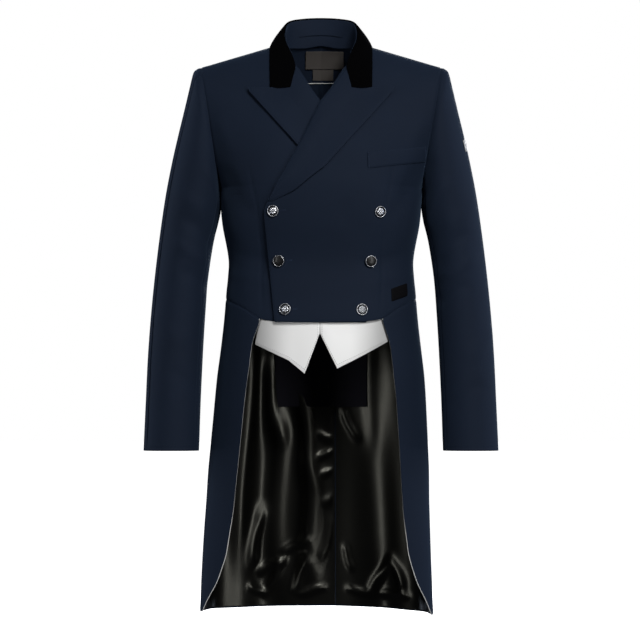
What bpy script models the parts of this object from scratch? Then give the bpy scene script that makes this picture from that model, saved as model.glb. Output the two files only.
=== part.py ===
"""Double-breasted riding tailcoat, filled out as if worn and empty inside.

Metres, +Z up, the front towards -Y and the wearer's left towards +X. The origin is at the base of
the neck, level with the inner ends of the shoulder seams, where the wearer's shoulders hold the coat.
"""
import math
from collections import namedtuple

import bpy
from mathutils import Vector

NAME = "riding_tailcoat"

# Walls and gaps
WOOL = 0.0014
LINING = 0.0010
SATIN = 0.0012
VELVET = 0.0018
SEAM = 0.0003
SHOULDER_GAPS = 3.0
WAIST_GAP = 0.0013
LAYER = 0.0009
MERGE = 0.00001

# Search steps, and the step across and down the form that gives its normal
HALVINGS = 30
SETTLINGS = 5
NORMAL_STEP = 0.004

# Smoothness of the grids: half turn of the armhole, bodice below it, width of a panel
ARM_STEPS = 12
NECK_STEPS = 4
BODICE_ROWS = 8
FRONT_COLUMNS = 12
BACK_COLUMNS = 11
TAIL_ROWS = 10
TAIL_COLUMNS = 21

# Armhole: middle, half height with its lean, half depth
ARM_CENTRE = Vector((0.188, 0.006, -0.141))
ARM_RISE = Vector((0.017, 0.0, 0.104))
ARM_DEPTH = 0.056

# Levels from the shoulder seam down: middle of the front and of the back, half width at the side,
# side seam's depth and how much of a quarter round the panel makes. The first six end on the armhole.
Level = namedtuple("Level", "front_z front_y back_z back_y half side_y wrap")
LEVELS = (
    Level(+0.022, +0.005, +0.022, +0.005, 0.205, 0.006, 0.80),
    Level(-0.020, -0.040, +0.006, +0.062, 0.202, 0.006, 0.80),
    Level(-0.080, -0.078, -0.060, +0.088, 0.193, 0.006, 0.85),
    Level(-0.150, -0.103, -0.140, +0.108, 0.183, 0.006, 0.90),
    Level(-0.212, -0.115, -0.205, +0.112, 0.174, 0.006, 0.97),
    Level(-0.245, -0.118, -0.245, +0.110, 0.171, 0.006, 1.00),
    Level(-0.300, -0.112, -0.300, +0.103, 0.168, 0.004, 1.00),
    Level(-0.367, -0.098, -0.367, +0.085, 0.157, 0.002, 1.00),
    Level(-0.420, -0.102, -0.420, +0.097, 0.161, 0.000, 1.00),
    Level(-0.469, -0.110, -0.469, +0.112, 0.165, 0.000, 1.00),
    Level(-0.560, -0.120, -0.560, +0.130, 0.175, 0.000, 1.00),
    Level(-0.680, -0.118, -0.680, +0.135, 0.184, 0.000, 1.00),
    Level(-0.800, -0.110, -0.800, +0.138, 0.192, 0.000, 1.00),
    Level(-0.970, -0.100, -0.970, +0.140, 0.200, 0.000, 1.00),
)
ARM_LEVEL = 5
FRONT_ROUND = 2.3
BACK_ROUND = 2.7
WIDEST_EDGE = 0.9

# The upper front's inner edge: neck, roll line, then the overlap's straight edge
Edge = namedtuple("Edge", "z x")
FRONT_EDGE = (
    Edge(+0.004, 0.0780), Edge(-0.020, 0.0580), Edge(-0.036, 0.0400), Edge(-0.0755, 0.0150),
    Edge(-0.098, -0.0026), Edge(-0.173, -0.0396), Edge(-0.245, -0.0806), Edge(-0.281, -0.0960),
    Edge(-0.343, -0.0900), Edge(-0.4085, -0.0836), Edge(-0.480, -0.0765),
)
BACK_NECK_WIDTH = 0.077
BACK_NECK_LEVEL = 1.0

# Overlap of the fronts: how far the upper one stands out and the lower one sinks, and the ease in
UPPER_LIFT = 0.0030
LOWER_SINK = 0.0034
OVERLAP_EASE = 0.050

# Waist seam by share of the half width, then the cutaway edge of the tails
Waist = namedtuple("Waist", "share front_z back_z")
WAIST = (
    Waist(-1.00, -0.469, -0.425), Waist(0.00, -0.469, -0.425), Waist(0.45, -0.468, -0.426),
    Waist(0.624, -0.464, -0.427), Waist(0.81, -0.444, -0.428), Waist(1.00, -0.430, -0.430),
)
CUTAWAY = (
    Edge(-0.425, 0.1025), Edge(-0.465, 0.1030), Edge(-0.505, 0.1170), Edge(-0.600, 0.1285),
    Edge(-0.700, 0.1370), Edge(-0.790, 0.1445), Edge(-0.865, 0.1555), Edge(-0.910, 0.1700),
    Edge(-0.940, 0.1850), Edge(-0.970, 0.1960),
)
TAIL_TOP_Z = -0.420
TAIL_TIP_Z = {1: -0.966, -1: -0.960}
TAIL_BACK_Z = -0.955
# The tails swing towards the wearer's right by these shares, from SPREAD_START down
TAIL_SPREAD = {1: -0.045, -1: +0.035}
SPREAD_START = -0.50
SPREAD_DROP = 0.40
# Vent: the left tail laps outside, the right one inside; the left lining stops beside the lap
VENT_END = {1: -0.011, -1: -0.024}
LINING_END = {1: 0.028, -1: -0.021}
VENT_SINK = 0.0028
VENT_START = 1.86
VENT_EASE = 0.09

# Soft folds of the tails: turn is 1 at the side seam and 2 at the centre back
Fold = namedtuple("Fold", "side turn width depth")
FOLDS = (
    Fold(-1, 0.84, 0.10, +0.003), Fold(-1, 1.10, 0.11, -0.005), Fold(-1, 1.32, 0.10, +0.006),
    Fold(-1, 1.53, 0.09, -0.005), Fold(-1, 1.70, 0.08, +0.006), Fold(-1, 1.88, 0.07, -0.003),
    Fold(+1, 0.88, 0.10, +0.003), Fold(+1, 1.08, 0.10, -0.004), Fold(+1, 1.28, 0.10, +0.005),
    Fold(+1, 1.48, 0.08, -0.004), Fold(+1, 1.60, 0.08, +0.005), Fold(+1, 1.79, 0.08, -0.004),
)
FOLD_START = -0.47
FOLD_FULL = -0.86

# Lapel outline on the front: crease from its foot to the gorge, outer edge and top edge
Spot = namedtuple("Spot", "x z")
LAPEL_CREASE = (Spot(-0.0895, -0.2655), Spot(-0.0396, -0.1735), Spot(-0.0015, -0.0980),
                Spot(0.0160, -0.0755), Spot(0.0425, -0.0375))
LAPEL_OUTER = (Spot(-0.0860, -0.2665), Spot(-0.0454, -0.2450), Spot(0.0053, -0.2060),
               Spot(0.0425, -0.1650), Spot(0.1205, -0.0794), Spot(0.1205, -0.0740))
LAPEL_TOP = (Spot(0.0425, -0.0375), Spot(0.0520, -0.0732), Spot(0.0860, -0.0732),
             Spot(0.1205, -0.0740))
LAPEL_ROWS = 14
LAPEL_COLUMNS = 7

# Velvet collar on the left half, front to centre back: crest, fall edge, foot of the inner stand
Collar = namedtuple("Collar", "crest fall foot")
COLLAR = (
    Collar((0.0525, -0.0737, -0.0705), (0.0864, -0.0664, -0.0705), None),
    Collar((0.0480, -0.0640, -0.0530), (0.0868, -0.0533, -0.0500), None),
    Collar((0.0445, -0.0520, -0.0335), (0.0872, -0.0365, -0.0290), None),
    Collar((0.0520, -0.0330, -0.0100), (0.0875, -0.0117, -0.0068), (0.0612, -0.0248, -0.0108)),
    Collar((0.0620, -0.0020, +0.0120), (0.0870, +0.0050, +0.0004), (0.0738, +0.0040, +0.0024)),
    Collar((0.0625, +0.0220, +0.0330), (0.0850, +0.0352, -0.0010), (0.0690, +0.0290, +0.0025)),
    Collar((0.0550, +0.0430, +0.0430), (0.0720, +0.0545, -0.0043), (0.0490, +0.0500, +0.0026)),
    Collar((0.0320, +0.0580, +0.0475), (0.0400, +0.0645, -0.0025), (0.0250, +0.0592, +0.0030)),
    Collar((0.0000, +0.0630, +0.0490), (0.0000, +0.0695, +0.0005), (0.0000, +0.0617, +0.0068)),
)
COLLAR_BULGE = 0.0035
COLLAR_ACROSS = 5
COLLAR_FINE = 2
STAND_IN = 0.0026
STAND_DOWN = 0.0030
STAND_ACROSS = 2
NECK_MIDDLE = Vector((0.0, 0.010, -0.030))

# Sleeve sections from the armhole to the cuff
Ring = namedtuple("Ring", "outer_x outer_z inner_x inner_z middle_y half_depth")
SLEEVE = (
    Ring(0.2050, -0.0370, 0.1710, -0.2450, 0.006, 0.0560),
    Ring(0.2110, -0.0400, 0.1722, -0.2462, 0.006, 0.0590),
    Ring(0.2170, -0.0470, 0.1728, -0.2480, 0.006, 0.0612),
    Ring(0.2235, -0.0730, 0.1732, -0.2505, 0.006, 0.0632),
    Ring(0.2325, -0.1110, 0.1738, -0.2550, 0.006, 0.0648),
    Ring(0.2425, -0.1520, 0.1746, -0.2630, 0.007, 0.0655),
    Ring(0.2530, -0.1980, 0.1758, -0.2760, 0.008, 0.0650),
    Ring(0.2640, -0.2550, 0.1775, -0.2990, 0.010, 0.0640),
    Ring(0.2740, -0.3230, 0.1835, -0.3360, 0.011, 0.0622),
    Ring(0.2825, -0.3930, 0.1915, -0.3950, 0.009, 0.0600),
    Ring(0.2890, -0.4600, 0.1965, -0.4600, 0.002, 0.0575),
    Ring(0.2940, -0.5300, 0.2005, -0.5300, -0.007, 0.0545),
    Ring(0.2975, -0.6080, 0.2040, -0.6080, -0.017, 0.0508),
    Ring(0.3010, -0.6870, 0.2065, -0.6870, -0.028, 0.0470),
)

# Chest welt corners, waist patch corners
WELT_TOP = (Spot(0.0785, -0.1830), Spot(0.1770, -0.1730))
WELT_FOOT = (Spot(0.0790, -0.2094), Spot(0.1765, -0.1975))
WELT_COLUMNS = 6
PATCH_TOP = (Spot(0.1185, -0.4135), Spot(0.1450, -0.4040))
PATCH_FOOT = (Spot(0.1195, -0.4345), Spot(0.1460, -0.4250))
PATCH_COLUMNS = 3
PATCH_ROWS = 2

# Buttons with the seat of each over the front's form, and the profile of one over its seat
Button = namedtuple("Button", "x z seat")
BUTTONS = (Button(-0.0797, -0.2810, -0.0002), Button(0.0985, -0.2825, -0.0005),
           Button(-0.0700, -0.3655, +0.0009), Button(0.0826, -0.3660, +0.0009),
           Button(-0.0598, -0.4485, +0.0003), Button(0.0683, -0.4490, +0.0001))
ENAMELLED = (3, 4)
Turn = namedtuple("Turn", "radius height")
BUTTON_PROFILE = (
    Turn(0.0000, 0.0045), Turn(0.0050, 0.0043), Turn(0.0074, 0.0037), Turn(0.0080, 0.0045),
    Turn(0.0090, 0.0046), Turn(0.0099, 0.0038), Turn(0.0099, 0.0026), Turn(0.0085, 0.0016),
    Turn(0.0030, 0.0014), Turn(0.0030, 0.0000), Turn(0.0000, 0.0000),
)
CUP_PROFILE = (
    Turn(0.0000, 0.0026), Turn(0.0072, 0.0026), Turn(0.0076, 0.0043), Turn(0.0088, 0.0045),
    Turn(0.0099, 0.0037), Turn(0.0099, 0.0026), Turn(0.0085, 0.0016), Turn(0.0030, 0.0014),
    Turn(0.0030, 0.0000), Turn(0.0000, 0.0000),
)
ENAMEL_PROFILE = (
    Turn(0.0000, 0.0049), Turn(0.0040, 0.0047), Turn(0.0070, 0.0040), Turn(0.0069, 0.0029),
    Turn(0.0000, 0.0029),
)
BUTTON_SIDES = 14
BUTTON_AIM = 0.01

# False waistcoat points behind the front's hem: top and foot outlines
POINT_TOP_Z = -0.447
POINT_DEPTH = 0.0057
POINT_FEET = {
    1: (Spot(-0.0016, -0.4880), Spot(0.0277, -0.5470), Spot(0.0700, -0.5260), Spot(0.1165, -0.5010)),
    -1: (Spot(0.0024, -0.4880), Spot(0.0280, -0.5560), Spot(0.0560, -0.5330), Spot(0.1145, -0.5060)),
}
POINT_TOP_WIDE = 0.1020
POINT_ROWS = 5
POINT_PARTS = 3

# Pieces inside the back
Drop = namedtuple("Drop", "z lift")
WAIST_LINING = (Drop(-0.395, -0.0021), Drop(-0.405, -0.0032), Drop(-0.420, -0.0066),
                Drop(-0.500, -0.0074), Drop(-0.560, -0.0080), Drop(-0.614, -0.0087))
WAIST_LINING_HALF = 0.0800
WAIST_LINING_COLUMNS = 10
Label = namedtuple("Label", "middle_x width top_z foot_z lift")
NECK_LABEL = Label(0.0063, 0.0650, -0.0060, -0.0365, -0.0037)
SIZE_LABEL = Label(0.0035, 0.0350, -0.0380, -0.0560, -0.0024)
FACING_PIPING = Label(0.0, 0.1500, -0.0610, -0.0610, -0.0030)
LABEL_WALL = 0.0008
LABEL_ROWS = 3
LABEL_COLUMNS = 5
PIPING = 0.0010
PIPING_STEPS = 16
PIPING_GAP = 0.0085
LINING_GAP = 0.0200
LINING_UP = 0.0050
LINING_CLEAR = 0.0005

# Hanger loop on the stand, and the tab on the left sleeve
LOOP_HALF = 3
LOOP_RISE = 0.35
LOOP_CORD = 0.0011
LOOP_CLEAR = 0.0005
LOOP_BOW = 0.0015
TAB_ANGLES = (0.16, 0.42)
TAB_RINGS = (5.15, 5.58)

COLOURS = {
    "navy_wool": ((0.0100, 0.0150, 0.0270), 0.78, 0.0),
    "black_velvet": ((0.0020, 0.0020, 0.0025), 0.95, 0.0),
    "black_satin": ((0.0060, 0.0060, 0.0055), 0.30, 0.0),
    "black_lining": ((0.0020, 0.0020, 0.0022), 0.85, 0.0),
    "white_satin": ((0.7400, 0.7400, 0.7300), 0.38, 0.0),
    "white_piping": ((0.7000, 0.7000, 0.6900), 0.50, 0.0),
    "silver_metal": ((0.5600, 0.5700, 0.6000), 0.28, 1.0),
    "black_enamel": ((0.0030, 0.0030, 0.0035), 0.12, 0.0),
    "label_weave": ((0.0380, 0.0340, 0.0310), 0.60, 0.0),
    "black_tab": ((0.0040, 0.0040, 0.0045), 0.50, 0.0),
}


def clear_scene():
    """Empty the scene and open the collection of the coat's pieces."""
    for thing in list(bpy.data.objects):
        bpy.data.objects.remove(thing)
    coat = bpy.data.collections.new(NAME)
    bpy.context.scene.collection.children.link(coat)
    return coat


def make_material(name):
    """Principled finish from the colour table."""
    colour, roughness, metallic = COLOURS[name]
    material = bpy.data.materials.new(name)
    material.use_nodes = True
    shader = material.node_tree.nodes["Principled BSDF"]
    shader.inputs["Base Color"].default_value = (*colour, 1.0)
    shader.inputs["Roughness"].default_value = roughness
    shader.inputs["Metallic"].default_value = metallic
    return material


def ease(value):
    """Smooth step from 0 to 1."""
    value = min(max(value, 0.0), 1.0)
    return value * value * (3.0 - 2.0 * value)


def spline(four, share):
    """Catmull-Rom value between the middle two of four values."""
    before, start, end, after = four
    return 0.5 * (2.0 * start + (end - before) * share
                  + (2.0 * before - 5.0 * start + 4.0 * end - after) * share ** 2
                  + (3.0 * start - before - 3.0 * end + after) * share ** 3)


def along(points, share):
    """Point at a share of a polyline's length."""
    points = [Vector(point) for point in points]
    lengths = [(b - a).length for a, b in zip(points, points[1:])]
    rest = share * sum(lengths)
    for start, end, length in zip(points, points[1:], lengths):
        if rest <= length or end is points[-1]:
            return start.lerp(end, min(rest / length, 1.0))
        rest -= length
    return points[-1]


def lookup(table, key, at, value):
    """Straight-line value in a table whose key column rises or falls steadily."""
    rows = sorted(table, key=lambda row: getattr(row, key))
    at = min(max(at, getattr(rows[0], key)), getattr(rows[-1], key))
    for low, high in zip(rows, rows[1:]):
        if at <= getattr(high, key):
            share = (at - getattr(low, key)) / (getattr(high, key) - getattr(low, key))
            return getattr(low, value) * (1.0 - share) + getattr(high, value) * share
    return getattr(rows[-1], value)


def level_value(face, column, level):
    """One column of the level table, smooth between levels and over the shoulder.

    Columns "y" and "z" are the face's own; the row above the shoulder is the other face's.
    """
    base = min(max(int(math.floor(level)), 0), len(LEVELS) - 2)
    four = []
    for row in range(base - 1, base + 3):
        look = ("back" if face == "front" else "front") if row < 0 else face
        entry = LEVELS[min(abs(row), len(LEVELS) - 1)]
        four.append(getattr(entry, look + "_" + column if column in ("y", "z") else column))
    return spline(four, level - base)


def armhole(angle, depth_sign):
    """Point of the armhole, 0 at the shoulder and pi under the arm."""
    return (ARM_CENTRE + ARM_RISE * math.cos(angle)
            + Vector((0.0, depth_sign * ARM_DEPTH * math.sin(angle), 0.0)))


def side_point(face, level):
    """Outer end of a level: on the armhole, and on the side seam below it."""
    if level <= ARM_LEVEL:
        return armhole(math.pi * level / ARM_LEVEL, -1.0 if face == "front" else 1.0)
    return Vector((level_value(face, "half", level), level_value(face, "side_y", level),
                   level_value(face, "z", level)))


def body_point(face, share, level):
    """Point of the coat's form; share runs from 0 at the middle to 1 at the side."""
    power = FRONT_ROUND if face == "front" else BACK_ROUND
    wrap = min(level_value(face, "wrap", level), 1.0)
    out = min(abs(share), 1.0)
    rise = 1.0 - (1.0 - (wrap * out) ** power) ** (1.0 / power)
    full = 1.0 - (1.0 - wrap ** power) ** (1.0 / power)
    side = side_point(face, level)
    middle_y = level_value(face, "y", level)
    middle_z = level_value(face, "z", level)
    return Vector((side.x * share, middle_y + (side.y - middle_y) * rise / full,
                   middle_z + (side.z - middle_z) * out))


def body(face, share, level, lift=0.0):
    """Point of the coat's form moved out of the surface by lift."""
    across = (body_point(face, min(share + NORMAL_STEP, 1.0), level)
              - body_point(face, max(share - NORMAL_STEP, -1.0), level))
    down = (body_point(face, share, level + NORMAL_STEP)
            - body_point(face, share, max(level - NORMAL_STEP, 0.0)))
    normal = down.cross(across) if face == "front" else across.cross(down)
    return body_point(face, share, level) + normal.normalized() * lift


def locate(face, x, z):
    """Share and level of the surface point that shows at x and z."""
    low, high = 0.0, len(LEVELS) - 1.0
    for _ in range(HALVINGS):
        level = 0.5 * (low + high)
        share = min(max(x / side_point(face, level).x, -1.0), 1.0)
        if body_point(face, share, level).z > z:
            low = level
        else:
            high = level
    return share, level


def on_front(x, z, lift):
    """Point over the front at x and z."""
    share, level = locate("front", x, z)
    return body("front", share, level, lift)


def on_back(x, z, lift):
    """Point over the back at x and z; a negative lift is inside the coat."""
    share, level = locate("back", x, z)
    return body("back", share, level, lift)


def overlap(x, z):
    """1 where the fronts lap over each other, easing to 0 beside the lap."""
    return ease((OVERLAP_EASE - lookup(FRONT_EDGE, "z", z, "x") - x) / OVERLAP_EASE)


def front_lift(side, x, z):
    """How far a front stands out of the form, on its own side's x."""
    return (UPPER_LIFT if side > 0 else -LOWER_SINK) * overlap(x, z)


def turn_of(share):
    """Turn round the coat for a share of the half width, 1 at the side."""
    return math.asin(min(max(share, -1.0), 1.0)) * 2.0 / math.pi


def mirrored(grid, side):
    """Grid put on the wearer's left for side 1 and on the right for side -1."""
    return [[Vector((point.x * side, point.y, point.z)) for point in row] for row in grid]


def body_axis(point):
    """Middle of the coat, which a body piece faces away from."""
    return Vector((0.0, 0.0, point.z))


def sheet(name, grid, wall, material, coat, axis=body_axis, closed=False):
    """Open grid surface facing away from its axis, given its wall inwards by Solidify."""
    rows, columns = len(grid), len(grid[0])
    points = [point for row in grid for point in row]
    faces = []
    for row in range(rows - 1):
        for column in range(columns if closed else columns - 1):
            right = (column + 1) % columns
            faces.append((row * columns + column, row * columns + right,
                          (row + 1) * columns + right, (row + 1) * columns + column))
    facing = 0.0
    for face in faces:
        a, b, c, d = (points[corner] for corner in face)
        facing += (c - a).cross(d - b).dot((a + c) / 2.0 - axis((a + c) / 2.0))
    if facing < 0.0:
        faces = [tuple(reversed(face)) for face in faces]
    mesh = bpy.data.meshes.new(name)
    mesh.from_pydata(points, [], faces)
    mesh.materials.append(material)
    mesh.shade_smooth()
    piece = bpy.data.objects.new(name, mesh)
    coat.objects.link(piece)
    solid = piece.modifiers.new("wall", "SOLIDIFY")
    solid.thickness = wall
    solid.offset = -1.0
    solid.use_even_offset = True
    return piece


def turned(name, profile, place, facing, material, coat):
    """Turned piece standing on its place along its facing."""
    mesh = bpy.data.meshes.new(name)
    points = [(step.radius, 0.0, step.height) for step in profile]
    mesh.from_pydata(points, [(i, i + 1) for i in range(len(points) - 1)], [])
    mesh.materials.append(material)
    piece = bpy.data.objects.new(name, mesh)
    coat.objects.link(piece)
    screw = piece.modifiers.new("turn", "SCREW")
    screw.steps = screw.render_steps = BUTTON_SIDES
    screw.use_merge_vertices = True
    screw.merge_threshold = MERGE
    piece.location = place
    piece.rotation_euler = facing.to_track_quat("Z", "Y").to_euler()
    return piece


def cord(name, points, radius, material, coat):
    """Thin round piping through its points."""
    curve = bpy.data.curves.new(name, "CURVE")
    curve.dimensions = "3D"
    curve.bevel_depth = radius
    curve.bevel_resolution = 1
    curve.use_fill_caps = True
    line = curve.splines.new("POLY")
    line.points.add(len(points) - 1)
    for spot, point in zip(line.points, points):
        spot.co = (*point, 1.0)
    curve.materials.append(material)
    piece = bpy.data.objects.new(name, curve)
    coat.objects.link(piece)
    weld = piece.modifiers.new("caps", "WELD")
    weld.merge_threshold = MERGE
    return piece


def level_at(z):
    """Level whose middle lies at z, below the arms."""
    low, high = float(ARM_LEVEL), len(LEVELS) - 1.0
    for _ in range(HALVINGS):
        level = 0.5 * (low + high)
        if level_value("front", "z", level) > z:
            low = level
        else:
            high = level
    return level


def front_inner_turn(level):
    """Turn at which a level meets the front's inner edge."""
    side = side_point("front", level)
    middle_z = level_value("front", "z", level)
    low, high = -WIDEST_EDGE, WIDEST_EDGE
    for _ in range(HALVINGS):
        share = 0.5 * (low + high)
        z = middle_z + (side.z - middle_z) * abs(share)
        if side.x * share < lookup(FRONT_EDGE, "z", z, "x"):
            low = share
        else:
            high = share
    return turn_of(share)


def panel_point(face, turn, level, side=None):
    """Point of a front or back above the waist, with the overlap's lift on a front."""
    share = math.sin(turn * math.pi / 2.0)
    lift = 0.0
    if side is not None:
        flat = body_point(face, share, level)
        lift = front_lift(side, flat.x, flat.z)
    return body(face, share, level, lift)


def below_arm(face, inner_turn, columns, down):
    """Turns and levels of a row between the arm and the waist seam."""
    row = []
    arm_z = LEVELS[ARM_LEVEL].front_z
    for column in range(columns + 1):
        z = arm_z
        for _ in range(SETTLINGS):
            level = level_at(z)
            start = inner_turn(level)
            turn = start + (1.0 - start) * column / columns
            seam = lookup(WAIST, "share", math.sin(turn * math.pi / 2.0), face + "_z")
            z = arm_z + (seam - arm_z) * down
        row.append((turn, level_at(z)))
    return row


def open_side_seam(grid, shift):
    """Part a panel from its neighbours at the shoulder and the side seam."""
    for point in grid[0]:
        point.y += SHOULDER_GAPS * shift
    for row in grid[ARM_STEPS:]:
        row[-1].y += shift
    return grid


def front_grid(side):
    """Front panel from its inner edge to the armhole and side seam."""
    grid = []
    for step in range(ARM_STEPS + 1):
        level = ARM_LEVEL * step / ARM_STEPS
        start = front_inner_turn(level)
        grid.append([panel_point("front", start + (1.0 - start) * column / FRONT_COLUMNS, level, side)
                     for column in range(FRONT_COLUMNS + 1)])
    for step in range(1, BODICE_ROWS + 1):
        row = below_arm("front", front_inner_turn, FRONT_COLUMNS, step / BODICE_ROWS)
        grid.append([panel_point("front", turn, level, side) for turn, level in row])
    return mirrored(open_side_seam(grid, -SEAM), side)


def back_neck(angle):
    """Turn and level of the back neckline, 0 at the shoulder and 90 degrees at the middle."""
    share = BACK_NECK_WIDTH / LEVELS[0].half * math.cos(angle)
    return turn_of(share), BACK_NECK_LEVEL * math.sin(angle)


def back_grid(side):
    """Back panel from the neckline and the centre seam to the armhole and side seam."""
    grid = []
    for step in range(ARM_STEPS + 1):
        start, inner = back_neck(math.pi / 2.0 * min(step / NECK_STEPS, 1.0))
        if step > NECK_STEPS:
            down = (step - NECK_STEPS) / (ARM_STEPS - NECK_STEPS)
            inner = BACK_NECK_LEVEL + (ARM_LEVEL - BACK_NECK_LEVEL) * down
        outer = ARM_LEVEL * step / ARM_STEPS
        row = []
        for column in range(BACK_COLUMNS + 1):
            out = column / BACK_COLUMNS
            row.append(panel_point("back", start + (1.0 - start) * out, inner + (outer - inner) * out))
        grid.append(row)
    for step in range(1, BODICE_ROWS + 1):
        row = below_arm("back", lambda level: 0.0, BACK_COLUMNS, step / BODICE_ROWS)
        grid.append([panel_point("back", turn, level) for turn, level in row])
    for row in grid:
        row[0].x += SEAM if row[0].x < SEAM else 0.0
    return mirrored(open_side_seam(grid, SEAM), side)


def fold_lift(side, turn, z):
    """Depth of the tails' soft folds, which grow towards the hem."""
    grow = ease((FOLD_START - z) / (FOLD_START - FOLD_FULL))
    return grow * sum(fold.depth * math.exp(-0.5 * ((turn - fold.turn) / fold.width) ** 2)
                      for fold in FOLDS if fold.side == side)


def tail_point(side, turn, z, lift=0.0):
    """Point of a tail: turn 0 is the middle of the front, 1 the side and 2 the centre back."""
    face = "front" if turn <= 1.0 else "back"
    share = math.sin((turn if turn <= 1.0 else 2.0 - turn) * math.pi / 2.0)
    lift += fold_lift(side, turn, z)
    if side < 0:
        lift -= VENT_SINK * ease((turn - VENT_START) / VENT_EASE)
    point = body(face, share, level_at(z), lift)
    point.x *= 1.0 + TAIL_SPREAD[side] * ease((SPREAD_START - z) / SPREAD_DROP)
    return point


def cutaway_turn(z):
    """Turn of the tail's front edge at z."""
    return turn_of(lookup(CUTAWAY, "z", z, "x") / level_value("front", "half", level_at(z)))


def tail_turn(side, column, z):
    """Turn of a tail's column: shell edge, lining edge, even steps, lining end and vent."""
    half = level_value("back", "half", level_at(z))
    if column == 0:
        return cutaway_turn(z) + PIPING_GAP
    if column == TAIL_COLUMNS:
        return 2.0 - turn_of(VENT_END[side] / half)
    start, end = cutaway_turn(z) + LINING_GAP, 2.0 - turn_of(LINING_END[side] / half)
    return start + (end - start) * (column - 1) / (TAIL_COLUMNS - 2)


def tail_spots(side):
    """Turns and heights of a tail's grid from the waist seam to the hem."""
    spots = []
    for row in range(TAIL_ROWS + 1):
        line = []
        for column in range(TAIL_COLUMNS + 1):
            z = TAIL_TOP_Z
            for _ in range(SETTLINGS):
                turn = tail_turn(side, column, z)
                share = math.sin((turn if turn <= 1.0 else 2.0 - turn) * math.pi / 2.0)
                top = lookup(WAIST, "share", share, "front_z" if turn <= 1.0 else "back_z")
                top -= WAIST_GAP if turn <= 1.0 else 2.0 * SEAM
                hem = TAIL_TIP_Z[side] + (TAIL_BACK_Z - TAIL_TIP_Z[side]) * ease(turn - 1.0)
                down = min(row / (TAIL_ROWS - 1), 1.0)
                z = top + (hem + LINING_UP - top) * down if row < TAIL_ROWS else hem
            line.append((turn, z))
        spots.append(line)
    return spots


def tail_grid(side, spots, lift):
    """Tail or its lining as points at one depth in the cloth."""
    return mirrored([[tail_point(side, turn, z, lift) for turn, z in row] for row in spots], side)


def sleeve_point(side, angle, along_rings, lift=0.0):
    """Point of a sleeve: angle 0 is its outer edge, a quarter turn its front; rings count down."""
    base = min(int(along_rings), len(SLEEVE) - 2)
    four = [SLEEVE[min(max(base + step, 0), len(SLEEVE) - 1)] for step in (-1, 0, 1, 2)]
    ring = Ring(*(spline([getattr(row, name) for row in four], along_rings - base)
                  for name in Ring._fields))
    outer = Vector((ring.outer_x, ring.middle_y, ring.outer_z))
    inner = Vector((ring.inner_x, ring.middle_y, ring.inner_z))
    middle = (outer + inner) / 2.0
    point = middle + (outer - middle) * math.cos(angle)
    point.y -= ring.half_depth * math.sin(angle)
    point += (point - middle).normalized() * lift
    return Vector(((point.x + SEAM) * side, point.y, point.z))


def sleeve_axis(side):
    """Function giving the middle of the sleeve near a point."""
    def middle(point):
        ring = min(SLEEVE, key=lambda row: abs((row.outer_z + row.inner_z) / 2.0 - point.z))
        return Vector(((ring.outer_x + ring.inner_x) / 2.0 * side, ring.middle_y,
                       (ring.outer_z + ring.inner_z) / 2.0))
    return middle


def lapel_spot(across, up):
    """Place on the lapel's outline patch: across from the crease, up from its foot."""
    crease, outer = along_spots(LAPEL_CREASE, up), along_spots(LAPEL_OUTER, up)
    foot = along_spots((LAPEL_CREASE[0], LAPEL_OUTER[0]), across)
    top = along_spots(LAPEL_TOP, across)
    corners = (Vector(LAPEL_CREASE[0]) * (1.0 - across) * (1.0 - up)
               + Vector(LAPEL_OUTER[0]) * across * (1.0 - up)
               + Vector(LAPEL_TOP[0]) * (1.0 - across) * up + Vector(LAPEL_TOP[-1]) * across * up)
    return crease * (1.0 - across) + outer * across + foot * (1.0 - up) + top * up - corners


def along_spots(spots, share):
    """Place at a share of the length of a line of spots."""
    return along([(spot.x, spot.z) for spot in spots], share)


def patch_grid(top, foot, columns, wall):
    """Small piece laid on the left front between its top and foot lines."""
    grid = []
    for row in range(PATCH_ROWS + 1):
        line = []
        for column in range(columns + 1):
            share = column / columns
            spot = along_spots(top, share).lerp(along_spots(foot, share), row / PATCH_ROWS)
            line.append(on_front(spot.x, spot.y, front_lift(1, spot.x, spot.y) + LAYER + wall))
        grid.append(line)
    return grid


def lapel_grid(side):
    """Lapel laid on its front."""
    grid = []
    for row in range(LAPEL_ROWS + 1):
        line = []
        for column in range(LAPEL_COLUMNS + 1):
            spot = lapel_spot(column / LAPEL_COLUMNS, row / LAPEL_ROWS)
            line.append(on_front(spot.x, spot.y, front_lift(side, spot.x, spot.y) + LAYER + WOOL))
        grid.append(line)
    return mirrored(grid, side)


def finer(rows, times):
    """Rows of points with smooth rows added between them."""
    result = []
    for index in range(len(rows) - 1):
        four = [rows[min(max(index + step, 0), len(rows) - 1)] for step in (-1, 0, 1, 2)]
        for part in range(times):
            result.append([spline(points, part / times) for points in zip(*four)])
    result.append(rows[-1])
    return result


def both_halves(rows):
    """Rows from the left front round the neck to the right front."""
    return rows + [[Vector((-point.x, point.y, point.z)) for point in row] for row in rows[-2::-1]]


def collar_rows():
    """Velvet fall from its crest to its edge, rounded between them."""
    rows = []
    for entry in COLLAR:
        crest, fall = Vector(entry.crest), Vector(entry.fall)
        middle = (crest + fall) / 2.0
        out = (middle - NECK_MIDDLE).normalized()
        rows.append([crest.lerp(fall, column / COLLAR_ACROSS)
                     + out * COLLAR_BULGE * math.sin(math.pi * column / COLLAR_ACROSS)
                     for column in range(COLLAR_ACROSS + 1)])
    return finer(both_halves(rows), COLLAR_FINE)


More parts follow.
